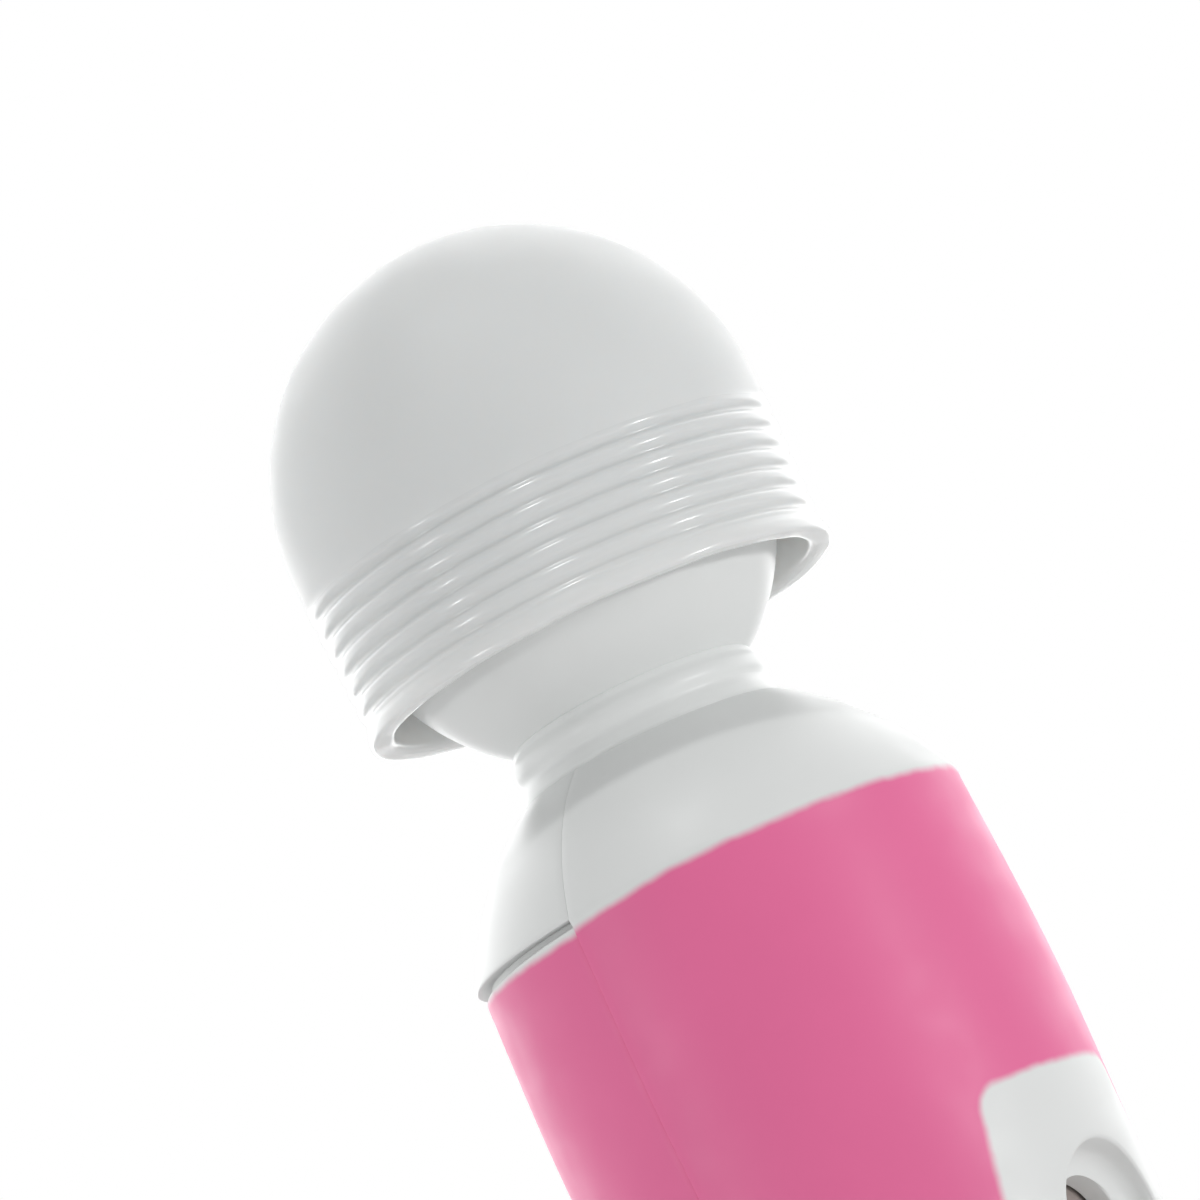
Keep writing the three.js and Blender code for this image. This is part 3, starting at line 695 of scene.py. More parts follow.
def window_ring(columns):
    """Indices of the grid's points round the window, clockwise from its top left."""
    (low, high), (left, right) = window_rows, window_columns
    ring = [high * columns + j for j in range(left, right)]
    ring += [i * columns + right for i in range(high, low, -1)]
    ring += [low * columns + j for j in range(right, left, -1)]
    return ring + [i * columns + left for i in range(low, high)]


def shrunk(size, by):
    return size["half_width"] - by, size["top"] - by, size["bottom"] + by


def dish_rings(grid_ring):
    """(x, y, z) rings from the shell's window to the back of the slot."""
    across = window_columns[1] - window_columns[0]
    along = window_rows[1] - window_rows[0]

    def ring(size, by, height):
        flat_ring = stadium_ring(*shrunk(size, by), across, along)
        return [(x, height(x, z), z) for x, z in flat_ring]

    def skin(x, z):
        return -math.sqrt(side_radius(z) ** 2 - x**2)

    lip, bottom_fillet, slot_lip = 0.35, 1.7, 0.2
    start = stadium_ring(*shrunk(DISH, -lip), across, along)
    rings = []
    for t in (0.3, 0.6, 0.85):
        row = []
        for (gx, _, gz), (sx, sz) in zip(grid_ring, start):
            x, z = gx + (sx - gx) * t, gz + (sz - gz) * t
            row.append((x, skin(x, z), z))
        rings.append(row)
    for k in range(6):
        a = math.radians(90 * k / 5)
        drop = lip * (1 - math.cos(a))
        rings.append(ring(DISH, -lip + lip * math.sin(a), lambda x, z: min(skin(x, z) + drop, DISH_FLOOR)))
    for k in range(7):
        a = math.radians(90 * k / 6)
        y = DISH_FLOOR - bottom_fillet * (1 - math.sin(a))
        rings.append(ring(DISH, 0.1 + bottom_fillet * (1 - math.cos(a)), lambda x, z: max(y, skin(x, z) + lip)
                          if k == 0 else y))
    for k in range(5):
        a = math.radians(90 * k / 4)
        y = DISH_FLOOR + slot_lip * (1 - math.cos(a))
        rings.append(ring(SLOT, -slot_lip + slot_lip * math.sin(a), lambda x, z: y))
    rings.append(ring(SLOT, 0.02, lambda x, z: DISH_FLOOR + 1.0))
    rings.append(ring(SLOT, 0.04, lambda x, z: SLOT_BACK))
    return rings


def pad_rings(grid_ring):
    """The same, on the inside: from the inner window to the thickened pad behind the dish."""
    across = window_columns[1] - window_columns[0]
    along = window_rows[1] - window_rows[0]
    start = stadium_ring(*shrunk(DISH, -2.0), across, along)
    rings = []
    for t in (0.4, 0.8):
        row = []
        for (gx, _, gz), (sx, sz) in zip(grid_ring, start):
            x, z = gx + (sx - gx) * t, gz + (sz - gz) * t
            row.append((x, -math.sqrt((side_radius(z) - WALL) ** 2 - x**2), z))
        rings.append(row)
    rings.append([(x, SLOT_BACK, z) for x, z in stadium_ring(*shrunk(DISH, -1.7), across, along)])
    rings.append([(x, SLOT_BACK, z) for x, z in stadium_ring(*shrunk(DISH, 1.0), across, along)])
    return rings


# %% Join the two skins, the dish and the edges into one closed moulding


def floor_rows(first_row, plane_y):
    """The flat tail, from the parting plane out to the first row."""
    shares = (0, 0.15, 0.35, 0.6, 0.82)
    return [[(x, plane_y + (y - plane_y) * share, z) for x, y, z in first_row] for share in shares]


def stitched_edges(rows, columns, inner_first):
    """Quads that close the gap between two skins round their four sides."""
    loop = list(range(columns))
    loop += [i * columns + columns - 1 for i in range(1, rows)]
    loop += [(rows - 1) * columns + j for j in range(columns - 2, -1, -1)]
    loop += [i * columns for i in range(rows - 2, 0, -1)]
    pairs = zip(loop, loop[1:] + loop[:1])
    return [(a, b, inner_first + b, inner_first + a) for a, b in pairs]


def half_skins(outer, inner, plane_y, side, columns, shape=None):
    """Outer and inner rows of a half moulding, each with its share of the flat tail."""
    outer_rows = half_rows(outer, plane_y, side, columns, 0.045, shape)
    inner_rows = half_rows(inner, plane_y, side, columns, 0, shape)
    return (floor_rows(outer_rows[0], plane_y) + outer_rows,
            floor_rows(inner_rows[0], plane_y) + inner_rows)


def ring_faces(loops):
    faces = []
    for inner, outer in zip(loops, loops[1:]):
        n = len(inner)
        faces += [(inner[k], inner[(k + 1) % n], outer[(k + 1) % n], outer[k]) for k in range(n)]
    return faces


def front_shell_mesh():
    outer, inner = half_skins(outer_shell, inner_shell, FRONT_EDGE, -1, FRONT_COLUMNS)
    extra = len(outer) - len(outer_shell)
    columns = len(outer[0])
    points = flat(outer) + flat(inner)
    inner_first = len(outer) * columns

    def skip(i, j):
        return in_window(i - extra, j)

    faces = quads(len(outer), columns, False, skip)
    faces += quads(len(inner), columns, False, skip, first=inner_first)
    faces += stitched_edges(len(outer), columns, inner_first)
    edge = [k + extra * columns for k in window_ring(columns)]
    slot_loops = [edge]
    for ring in dish_rings([points[k] for k in edge]):
        slot_loops.append(list(range(len(points), len(points) + len(ring))))
        points += ring
    pad_loops = [[k + inner_first for k in edge]]
    for ring in pad_rings([points[k] for k in pad_loops[0]]):
        pad_loops.append(list(range(len(points), len(points) + len(ring))))
        points += ring
    faces += ring_faces(slot_loops) + ring_faces(pad_loops + [slot_loops[-1]])
    return points, faces


front_points, front_faces = front_shell_mesh()
make_piece("front_casing", front_points, front_faces, "handle", "white_plastic", shell_paint,
           ["front_shell"])

# %% [markdown]
# ## The back shoulder and the battery cover
# Behind the parting plane the shoulder and the handle are two pieces. The shoulder is screwed on
# and stays; the cover slides off downwards. Its top edge sits close under the shoulder at the
# sides and falls away a little towards the back. A tongue on the shoulder's foot reaches down
# behind the cover's thin lip, so that no light shines through the gap. One closed outline swept
# half way round makes the shoulder; the cover is two skins like the front shell, with its top
# slanted by the angle.

# %% The back shoulder
SHOULDER_EDGE = 0.02


def half_solid(section, plane_y, side, columns):
    """A closed outline swept half way round, with flat ends on the parting plane."""
    rows = half_rows(section + section[:1], plane_y, side, columns)
    count = len(rows[0])
    points = flat(rows)
    faces = quads(len(rows), count, False)
    ends = [[i * count + j for i in range(len(section))] for j in (0, count - 1)]
    return points, faces + ends


def shoulder_section():
    skin = shoulder_arc(0, 26, SHOULDER["mouth"])
    foot_r, foot_z = skin[0]
    ledge_r, ledge_z = foot_r - 1.35, foot_z - 1.3
    edge = filleted([(foot_r - 2.2, ledge_z, 0), (ledge_r, ledge_z, 0.12), (ledge_r, foot_z, 0.08),
                     (foot_r - 0.02, foot_z, 0.3), skin[1] + (0,)], 4)
    under = shoulder_arc(WALL, 20, 14.0) + [(13.2, 150.8)]
    return edge + skin[2:] + mouth_lip + [(11.0, 150.8)] + under[::-1][:-1]


points, faces = half_solid(shoulder_section(), SHOULDER_EDGE, 1, 90)
make_piece("back_shoulder", points, faces, "handle", "white_plastic", white_abs, ["back_shell"])

# %% The cover: slanted top and thin bare lip
COVER_EDGE = 0.05
COVER_WALL = 1.6
COVER_SIDE_TOP = 143.05
COVER_BACK_TOP = 142.75
INSET_SIDE = 0.13
INSET_BACK = 0.5


def behind(angle):
    """0 at the parting plane and 1 straight behind."""
    return max(0, math.sin(angle)) ** 1.3


def cover_shape(r, z, angle):
    share = behind(angle)
    top = COVER_SIDE_TOP + (COVER_BACK_TOP - COVER_SIDE_TOP) * share
    height = z if z < 130 else 130 + (z - 130) * (top - 130) / (COVER_SIDE_TOP - 130)
    fade = min(1, z / 6)
    return r - (INSET_SIDE + (INSET_BACK - INSET_SIDE) * share) * fade, height


cover_side = [(r, z) for r, z in outer_side if z < COVER_SIDE_TOP - 1.2]
lip_r = side_radius(COVER_SIDE_TOP - 0.8)
cover_lip = filleted([(lip_r, COVER_SIDE_TOP - 0.7, 0), (lip_r - 0.04, COVER_SIDE_TOP, 0.3),
                      (lip_r - 0.65, COVER_SIDE_TOP, 0)], 5)
cover_outer = tail + cover_side + cover_lip
cover_inner = [(r, max(z, WALL)) for r, z in
               arc(TAIL_R - TAIL_FILLET, TAIL_FILLET, TAIL_FILLET - COVER_WALL, -90, -6, 10)]
cover_inner += [(r - COVER_WALL, z) for r, z in cover_side]
cover_inner += resampled([(lip_r - COVER_WALL, COVER_SIDE_TOP - 1.15), (lip_r - 0.75, COVER_SIDE_TOP - 1.1),
                          (lip_r - 0.72, COVER_SIDE_TOP)], len(cover_lip))
outer, inner = half_skins(cover_outer, cover_inner, COVER_EDGE, 1, 96, cover_shape)
columns = len(outer[0])
faces = quads(len(outer), columns, False)
faces += quads(len(inner), columns, False, first=len(outer) * columns)
faces += stitched_edges(len(outer), columns, len(outer) * columns)
make_piece("cover_casing", flat(outer) + flat(inner), faces, "cover", "white_plastic",
           cover_paint, ["battery_cover"])

# %% [markdown]
# ## Small solids
# Inside are plates, blocks, pins, springs and wires. A bevelled block, a turned solid, a bent tube
# and a flat outline given a thickness cover all of them. Each tool returns bare points and faces,
# so that several can be joined into one part, and a matrix puts the part in place.

# %% Shapes that can be moved and joined


def block_shape(low, high, fillet=0.2, steps=2):
    bm = bmesh.new()
    bmesh.ops.create_cube(bm, size=1)
    low, high = Vector(low), Vector(high)
    for v in bm.verts:
        v.co = [low[k] if v.co[k] < 0 else high[k] for k in range(3)]
    bmesh.ops.bevel(bm, geom=bm.edges[:], offset=fillet, segments=steps, profile=0.5, affect="EDGES")
    bm.verts.index_update()
    points = [tuple(v.co) for v in bm.verts]
    faces = [tuple(v.index for v in f.verts) for f in bm.faces]
    bm.free()
    return points, faces


def turned_shape(outline, columns):
    closed = outline if outline[0][0] < 1e-6 else outline + [outline[0]]
    rows = turned_rows(closed, columns)
    return flat(rows), quads(len(rows), columns, True)


def tube_shape(path, radius, sides):
    """A round bar along a path, its section carried along without twisting, its ends closed."""
    path = [Vector(p) for p in path]
    points, normal = [], None
    for i, here in enumerate(path):
        ahead = (path[min(i + 1, len(path) - 1)] - path[max(i - 1, 0)]).normalized()
        normal = normal or ahead.orthogonal()
        normal = (normal - ahead * normal.dot(ahead)).normalized()
        across = ahead.cross(normal)
        for k in range(sides):
            a = 2 * math.pi * k / sides
            points.append(tuple(here + (normal * math.cos(a) + across * math.sin(a)) * radius))
    faces = quads(len(path), sides, True)
    return points, faces + [tuple(range(sides)), tuple(range(len(points) - sides, len(points)))]


def plate_shape(outline, low, high, fillet=0.15, steps=3):
    """A flat (x, y) outline, given a thickness in z and rounded edges."""
    middle = Vector((sum(p[0] for p in outline), sum(p[1] for p in outline))) / len(outline)
    rows = []
    corners = [(fillet * (1 - math.sin(math.radians(90 * k / steps))),
                fillet * (1 - math.cos(math.radians(90 * k / steps)))) for k in range(steps + 1)]
    for pull, rise in corners:
        rows.append((pull, low + rise))
    for pull, rise in corners[::-1]:
        rows.append((pull, high - rise))
    points = []
    for pull, z in rows:
        for x, y in outline:
            away = Vector((x, y)) - middle
            inward = away * (1 - pull / max(away.length, 1e-6))
            points.append((middle.x + inward.x, middle.y + inward.y, z))
    count = len(outline)
    faces = quads(len(rows), count, True)
    return points, faces + [tuple(range(count)), tuple(range(len(points) - count, len(points)))]


def placed(shape, matrix):
    return [tuple(matrix @ Vector(p)) for p in shape[0]], shape[1]


def joined(*shapes):
    points, faces = [], []
    for shape in shapes:
        first = len(points)
        points += shape[0]
        faces += [tuple(first + k for k in face) for face in shape[1]]
    return points, faces


def at(x, y, z, turn=0):
    """Moves a shape to a place, after turning it about the x axis."""
    return Matrix.Translation((x, y, z)) @ Matrix.Rotation(math.radians(turn), 4, "X")


print("a bevelled block has", len(block_shape((0, 0, 0), (1, 1, 1))[1]), "faces")

# %% [markdown]
# ## The tray behind the cover
# The shoulder continues downwards as a tray that holds the cells and takes the case screws. A
# real one is a single moulding full of ribs. Plates with softened edges, each laid where a wall
# stands, give the same faces without cutting anything away.

# %% The tray, its end walls and the ring that joins it to the shoulder
cell_low, cell_high = box_mm("battery_cell_lower_left")
upper_low = box_mm("battery_cell_upper_left")[0]
CELL_X = -(cell_low.x + cell_high.x) / 2
CELL_Y = (cell_low.y + cell_high.y) / 2
CELL_PITCH = upper_low.z - cell_low.z
CELLS_TOP = cell_low.z + 2 * CELL_PITCH
TRAY = {"front": -2.6, "back": -1.2, "bottom": 4.0, "top": 141.5, "half": 16.4, "room": 16.9}


def wall_outline(depth, notched):
    """Half of an end wall: flat at the tray's floor, round towards the cover."""
    half, room = TRAY["half"], TRAY["room"]
    turn = [math.radians(a) for a in range(14, 37, 4)]
    side = [(half, TRAY["front"])]
    if notched:
        side += [(half, -0.3), (15.7, -0.3), (15.7, 2.3), (half, 2.3)]
    side += [(room * math.cos(a), room * math.sin(a)) for a in turn] + [(13.6, depth)]
    return side + [(-x, y) for x, y in side[::-1]]


def cell_tray():
    front, back, bottom, half = TRAY["front"], TRAY["back"], TRAY["bottom"], TRAY["half"]
    shapes = [block_shape((-half, front, bottom), (half, back, 140.3), 0.25)]
    shapes.append(plate_shape(wall_outline(10, True), bottom, bottom + 1.5))
    shapes.append(plate_shape(wall_outline(10, False), CELLS_TOP + 1, CELLS_TOP + 2.5))
    for side in (-1, 1):
        xs = sorted((side * 14.75, side * 15.55))
        shapes.append(block_shape((xs[0], front, bottom), (xs[1], 3.7, CELLS_TOP + 2.5), 0.2))
        xs = sorted((side * 14.75, side * 16.2))
        shapes.append(block_shape((xs[0], 2.5, bottom + 0.2), (xs[1], 3.7, CELLS_TOP + 2.4), 0.2))
    lid = [(18.3 * math.cos(math.radians(a)), 18.3 * math.sin(math.radians(a))) for a in range(-8, 189, 4)]
    lid += [(x, -4 + math.sqrt(25 - x * x)) for x in (-4.8, -4.2, -3, -1.5, 0, 1.5, 3, 4.2, 4.8)]
    shapes.append(plate_shape(lid, 140, 141.5))
    return joined(*shapes)


make_piece("cell_tray", *cell_tray(), "handle", "white_plastic", white_abs, ["back_shell"])
spigot = filleted([
    (17.0, 141.2, 0), (18.3, 141.2, 0.1), (18.3, 146.3, 0.4), (17.0, 146.3, 0.2), (17.0, 141.3, 0)])
make_piece("spigot", *half_solid(spigot, 0.3, 1, 72), "handle", "white_plastic", white_abs, ["back_shell"])

# %% Screw posts inside the front shell
SHELL_SCREWS = {"upper_right": (10, 133), "upper_left": (-10, 133),
                "lower_right": (10, 9), "lower_left": (-10, 9)}
BOARD_SCREWS = {"lower": (-9.6, 70), "upper": (9.6, 122)}
board_low, board_high = box_mm("circuit_board")


def post_shape(x, z, outer, bore, back):
    """A bored post, its front end trimmed to the middle of the shell's wall."""
    length = back + TAIL_R
    outline = filleted([(bore, length - 9, 0), (bore, length, 0.2), (outer, length, 0.3),
                        (outer + 0.1, 3, 0), (outer + 0.1, 0, 0)], 3)
    spread = [((outer + 0.1) * k / 6, 0) for k in range(5, 0, -1)]
    outline = [(0, length - 9)] + outline + spread + [(0, 0)]
    points, faces = placed(turned_shape(outline, 32), at(x, -TAIL_R, z, -90))
    wall = [-math.sqrt((side_radius(max(p[2], TAIL_FILLET)) - WALL / 2) ** 2 - p[0] ** 2) for p in points]
    return [(p[0], max(p[1], y), p[2]) for p, y in zip(points, wall)], faces


posts = [post_shape(x, z, 2.6, 1.15, TRAY["front"] - 0.3) for x, z in SHELL_SCREWS.values()]
posts += [post_shape(x, z, 2.2, 0.95, board_low.y - 0.3) for x, z in BOARD_SCREWS.values()]
make_piece("screw_posts", *joined(*posts), "handle", "white_plastic", white_abs, ["front_shell"])

# %% [markdown]
# ## Screws
# The case is closed with pan-head thread-forming screws. Each is one skin swept round its axis:
# the radius may depend on the angle as well as the height, so the same sweep forms the cross
# recess in the head and a thread that climbs round the shank.

# %% A screw from one swept skin
CROSS_WIDTH = 0.3
SCREW_COLUMNS = 48


def cross_radius(angle, reach, half_width):
    """Distance to the edge of a plus sign, straight out at this angle."""
    across, along = abs(math.sin(angle)), abs(math.cos(angle))
    arms = ((along, across), (across, along))
    return max(min(reach / max(a, 1e-6), half_width / max(b, 1e-6)) for a, b in arms)


def screw_shape(head_r, head_h, shank_r, length):
    """Head up: the top at head_h, the seat at 0, the point at -length."""
    pitch, depth = shank_r * 0.9, shank_r * 0.22
    rows = []
    turn = [2 * math.pi * j / SCREW_COLUMNS for j in range(SCREW_COLUMNS)]

    def row(radius_of, z):
        rows.append([(radius_of(a) * math.cos(a), radius_of(a) * math.sin(a), z) for a in turn])

    reach, half_width = head_r * 0.62, head_r * CROSS_WIDTH / 2
    floor = head_h - head_h * 0.6
    row(lambda a: 0, floor)
    row(lambda a: cross_radius(a, reach * 0.75, half_width * 0.8), floor)
    row(lambda a: cross_radius(a, reach, half_width), head_h - 0.06)
    row(lambda a: cross_radius(a, reach + 0.05, half_width + 0.05), head_h)
    for r, z in filleted([(head_r * 0.74, head_h, 0), (head_r, head_h * 0.85, 0.5), (head_r, 0.0, 0.1),
                          (shank_r, 0.0, 0)], 5):
        row(lambda a: r, z)
    steps = int((length - 1.2) / pitch * 8)
    for i in range(steps + 1):
        z = -0.3 - (length - 1.5) * i / steps
        fade = min(1, i / 8, (steps - i) / 8 + 0.2)

        def thread(a):
            phase = (z / pitch + a / (2 * math.pi)) % 1
            return shank_r - depth * fade * (1 - max(0, 1 - 3 * abs(phase - 0.5)))
        row(thread, z)
    row(lambda a: shank_r * 0.35, -length + 0.25)
    row(lambda a: 0, -length)
    return flat(rows), quads(len(rows), SCREW_COLUMNS, True)


for place, (x, z) in SHELL_SCREWS.items():
    shape = placed(screw_shape(2.4, 1.4, 1.05, 9.5), at(x, TRAY["back"] + 0.3, z, -90))
    make_piece(f"case_screw_{place}", *shape, "handle", "steel", plated_steel, [f"shell_screw_{place}"], 30)
for place, (x, z) in BOARD_SCREWS.items():
    shape = placed(screw_shape(1.9, 1.3, 0.85, 6), at(x, board_high.y + 0.3, z, -90))
    make_piece(f"pcb_screw_{place}", *shape, "handle", "steel", plated_steel, [f"board_screw_{place}"], 30)
for place in ("left", "right"):
    low, high = box_mm(f"clamp_screw_{place}")
    shape = placed(screw_shape(1.6, 1.1, 0.95, 8.2), at((low.x + high.x) / 2, 0, high.z - 1.1))
    make_piece(f"ring_screw_{place}", *shape, "head", "steel", plated_steel, [f"clamp_screw_{place}"], 30)

# %% [markdown]
# ## Cells, contacts and wires
# Four AA cells fill the tray. A cell is a steel can in a shrunk film, whose edge rolls over the
# rim at both ends; the copper-toned zone marks the positive end. One turned outline carries all
# of it, and the faces take their material by where they lie.

# %% The four cells
CELL_R, CELL_LENGTH, NUB = 7.1, 49.2, 1.3
BAND_FOOT = 36.0


def cell_outline():
    top = CELL_LENGTH
    can = [(0, 0.3), (3.7, 0.3), (4.0, 0.12), (5.8, 0.12), (6.2, 0.3)]
    film_skin = [(6.25, 0.12), (6.45, 0.02), (6.8, 0.06), (7.02, 0.25), (CELL_R, 0.6), (CELL_R, 17),
                 (CELL_R, BAND_FOOT - 0.5), (CELL_R, BAND_FOOT), (CELL_R, top - 0.7), (7.02, top - 0.3),
                 (6.8, top - 0.1), (6.45, top - 0.05), (6.25, top - 0.15)]
    button = [(6.2, top - 0.5), (5.6, top - 0.55), (3.5, top - 0.55), (3.0, top - 0.45), (2.75, top),
              (2.75, top + NUB - 0.4), (2.6, top + NUB - 0.12), (2.2, top + NUB), (0, top + NUB)]
    return can + film_skin + button


def zone(piece, finish, chosen):
    """Gives one more material to the faces whose middle, in mm, is chosen."""
    piece.data.materials.append(finish)
    index = len(piece.data.materials) - 1
    for face in piece.data.polygons:
        if chosen(face.center / MM):
            face.material_index = index


for level_name, foot in (("lower", cell_low.z), ("upper", upper_low.z)):
    for side_name, side in (("left", -1), ("right", 1)):
        x, whole = side * CELL_X, CELL_LENGTH + NUB
        place = at(x, CELL_Y, foot) if side > 0 else at(x, CELL_Y, foot + whole, 180)
        shape = placed(turned_shape(cell_outline(), 72), place)
        cell = make_piece(f"cell_{level_name}_{side_name}", *shape, "handle", "cell_sleeve", film,
                          [f"battery_cell_{level_name}_{side_name}"])
        split = foot + (BAND_FOOT if side > 0 else whole - BAND_FOOT)
        zone(cell, film_band, lambda p: (p.z - split) * side > 0)
        zone(cell, plated_steel, lambda p: math.hypot(p.x - x, p.y - CELL_Y) < 6.22)

# %% Springs, plates and the leads to the board
CELL_SPRING_WIRE = 0.35
LEAD_WIRE = 0.55


def coil_path(radii, heights, turns, centre, steps, part=(0.0, 1.0)):
    path = []
    for i in range(steps + 1):
        t = part[0] + (part[1] - part[0]) * i / steps
        a = 2 * math.pi * turns * t
        radius = radii[0] + (radii[1] - radii[0]) * t
        path.append((centre[0] + radius * math.cos(a), centre[1] + radius * math.sin(a),
                     heights[0] + (heights[1] - heights[0]) * t))
    return path


plate_low, plate_high = box_mm("lower_contact_plate")
make_piece("contact_plate", *block_shape(plate_low, plate_high, 0.15), "handle", "steel", plated_steel,
           ["lower_contact_plate"])
for side_name, side in (("left", -1), ("right", 1)):
    path = coil_path((4.6, 2.2), (7.0, 11.9), 3, (side * CELL_X, CELL_Y), 120)
    make_piece(f"cell_spring_{side_name}", *tube_shape(path, CELL_SPRING_WIRE, 12), "handle", "steel",
               plated_steel, [f"contact_spring_{side_name}"])
    low, high = box_mm(f"upper_terminal_{side_name}")
    make_piece(f"terminal_{side_name}", *block_shape(low, high, 0.15), "handle", "steel", plated_steel,
               [f"upper_terminal_{side_name}"])
    lead = smooth_through([
        (side * CELL_X, CELL_Y, high.z + 0.3), (side * CELL_X, CELL_Y, high.z + 3.4),
        (side * 6.9, 4.2, 119.4), (side * 5.7, 1.0, 120.8), (side * 5.5, -2, 121),
        (side * 5.5, board_high.y + 0.3, 121)], 8)
    finish, slot_name = (red_wire, "red_lead") if side > 0 else (black_wire, "black_lead")
    make_piece(f"supply_lead_{side_name}", *tube_shape(lead, LEAD_WIRE, 14), "handle", slot_name,
               finish, [f"battery_lead_{side_name}"])

# %% [markdown]
# ## What bends inside the neck
# A steel coil carries the head and lets it lean, and the two motor leads run up through it. Like
# the soft sleeve, each is made in two lengths that meet at the height of the hinges, so that each
# length bends over one hinge.

# %% The neck's spring and the motor leads
SPRING_WIRE = 0.7
SPRING = {"radii": (7, 7), "heights": (151.7, 158.1), "turns": 3.5, "centre": (0, 0)}
split_share = (HINGE_Z - SPRING["heights"][0]) / (SPRING["heights"][1] - SPRING["heights"][0])
path = coil_path(**SPRING, steps=150, part=(0, split_share))
spring_lower = make_piece("spring_lower", *tube_shape(path, SPRING_WIRE, 14), None, "steel", plated_steel,
                          ["neck_spring"])
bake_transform(spring_lower)
path = coil_path(**SPRING, steps=32, part=(split_share, 1))
spring_upper = make_piece("spring_upper", *tube_shape(path, SPRING_WIRE, 14), None, "steel", plated_steel,
                          ["neck_spring"])
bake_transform(spring_upper)
for side, name, finish in ((-1, "black", black_wire), (1, "red", red_wire)):
    below = smooth_through([
        (side * 3.0, -6.2, 123.5), (side * 2.6, -5.4, 129), (side * 2.2, -4.6, 136),
        (side * 1.7, -3.0, 142.5), (side * 1.3, -1.2, 146.8), (side * 1.2, 0, 151),
        (side * 1.2, 0, HINGE_Z)], 10)
    above = smooth_through([
        (side * 1.2, 0, HINGE_Z), (side * 1.2, 0, 160.4), (side * 2.5, 0, 162.0), (side * 4.5, 0, 162.4)], 10)
    lower = make_piece(f"lead_{name}_lower", *tube_shape(below, LEAD_WIRE, 14), None, f"{name}_lead", finish,
                       [f"motor_lead_{name}"])
    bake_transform(lower)
    upper = make_piece(f"lead_{name}_upper", *tube_shape(above, LEAD_WIRE, 14), None, f"{name}_lead", finish,
                       [f"motor_lead_{name}"])
    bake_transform(upper)

# %% [markdown]
# ## The thumb slider and the board behind it
# The slider is a small white button with four finger ribs. Behind it a wider skirt closes the
# slot at every position and drives the switch on the circuit board; its grey is painted shade,
# darker than its plastic, standing in for the shade inside the slot. The board carries a
# controller, a capacitor and a few chip resistors, placed clear of the switch and the screws.

# %% The slider
knob_low, knob_high = box_mm("slider_knob")


def facing_front(shape):
    """Turns a plate made in x, y with its top up, so that its top faces forwards."""
    return placed(shape, Matrix.Rotation(math.radians(90), 4, "X"))


def knob_shape():
    stem = plate_shape(stadium_ring(3.5, 96.1, 81.1, 12, 2), 14.8, 18.4, 0.5, 5)
    shapes = [facing_front(stem)]
    for z in (84.6, 87.1, 89.6, 92.1):
        shapes.append(block_shape((-2.5, -18.85, z - 0.45), (2.5, -18.1, z + 0.45), 0.34, 4))
    return joined(*shapes)


def skirt_shape():
    shapes = [block_shape((-5, -15.6, knob_low.z), (5, -14.9, knob_high.z), 0.3)]
    for side in (-1, 1):
        xs = sorted((side * 1.25, side * 5))
        shapes.append(block_shape((xs[0], -15.0, 84), (xs[1], -14.2, 92), 0.15))
    return joined(*shapes)


make_piece("thumb_slider", *knob_shape(), "slider", "white_plastic", white_abs, ["slider_knob"], 40)
# The skirt's grey is painted shade: darker than the real part, for the shade inside the slot.
make_piece("slider_skirt", *skirt_shape(), "slider", "grey_plastic", slot_shade_grey, ["slider_knob"])

# %% The circuit board and its components


def rounded_box(width, low, high, corner):
    """A rectangle's outline with rounded corners, in x and z."""
    outline = []
    for cx, cz, start in ((width / 2 - corner, high - corner, 0), (-width / 2 + corner, high - corner, 90),
                          (-width / 2 + corner, low + corner, 180), (width / 2 - corner, low + corner, 270)):
        for a in range(start, start + 91, 15):
            outline.append((cx + corner * math.cos(math.radians(a)), cz + corner * math.sin(math.radians(a))))
    return outline


board_outline = rounded_box(board_high.x - board_low.x, board_low.z, board_high.z, 1.2)
board_plate = facing_front(plate_shape(board_outline, -board_high.y, -board_low.y, 0.08, 2))
make_piece("pcb", *board_plate, "handle", "board", solder_mask, ["circuit_board"])
BOARD_FACE = board_low.y
chip = [block_shape((-2.5, BOARD_FACE - 1.6, 104), (2.5, BOARD_FACE - 0.15, 108), 0.12)]
resistors = [block_shape((x - 0.8, BOARD_FACE - 0.6, z - 0.5), (x + 0.8, BOARD_FACE - 0.02, z + 0.5), 0.06)
             for x, z in ((-7, 104), (-7, 107), (-7, 110), (7, 104), (7, 107), (0, 112.5), (-4, 112.5))]
make_piece("pcb_chips", *joined(*chip, *resistors), "handle", "black_plastic", black_nylon, ["circuit_board"])
pins = [block_shape((x, BOARD_FACE - 0.4, z - 0.2), (x + 1.2, BOARD_FACE - 0.01, z + 0.2), 0.06)
        for x in (-3.6, 2.4) for z in (104.6, 105.6, 106.6, 107.4)]
capacitor = turned_shape(filleted([(0, 0, 0), (2.4, 0, 0.1), (2.4, 4.6, 0.3), (0, 4.6, 0)], 3), 32)
pins.append(placed(capacitor, at(5.5, BOARD_FACE - 0.05, 112.5, 90)))
make_piece("pcb_pins", *joined(*pins), "handle", "steel", plated_steel, ["circuit_board"])

# %% [markdown]
# ## The motor and what holds it
# A small can motor stands in a rubber sleeve, which a screwed ring clamps inside the bowl. Most of
# its pieces are turned, so each takes one short outline, with the edge break that turning or
# pressing leaves. The outlines follow the frame's own sizes.

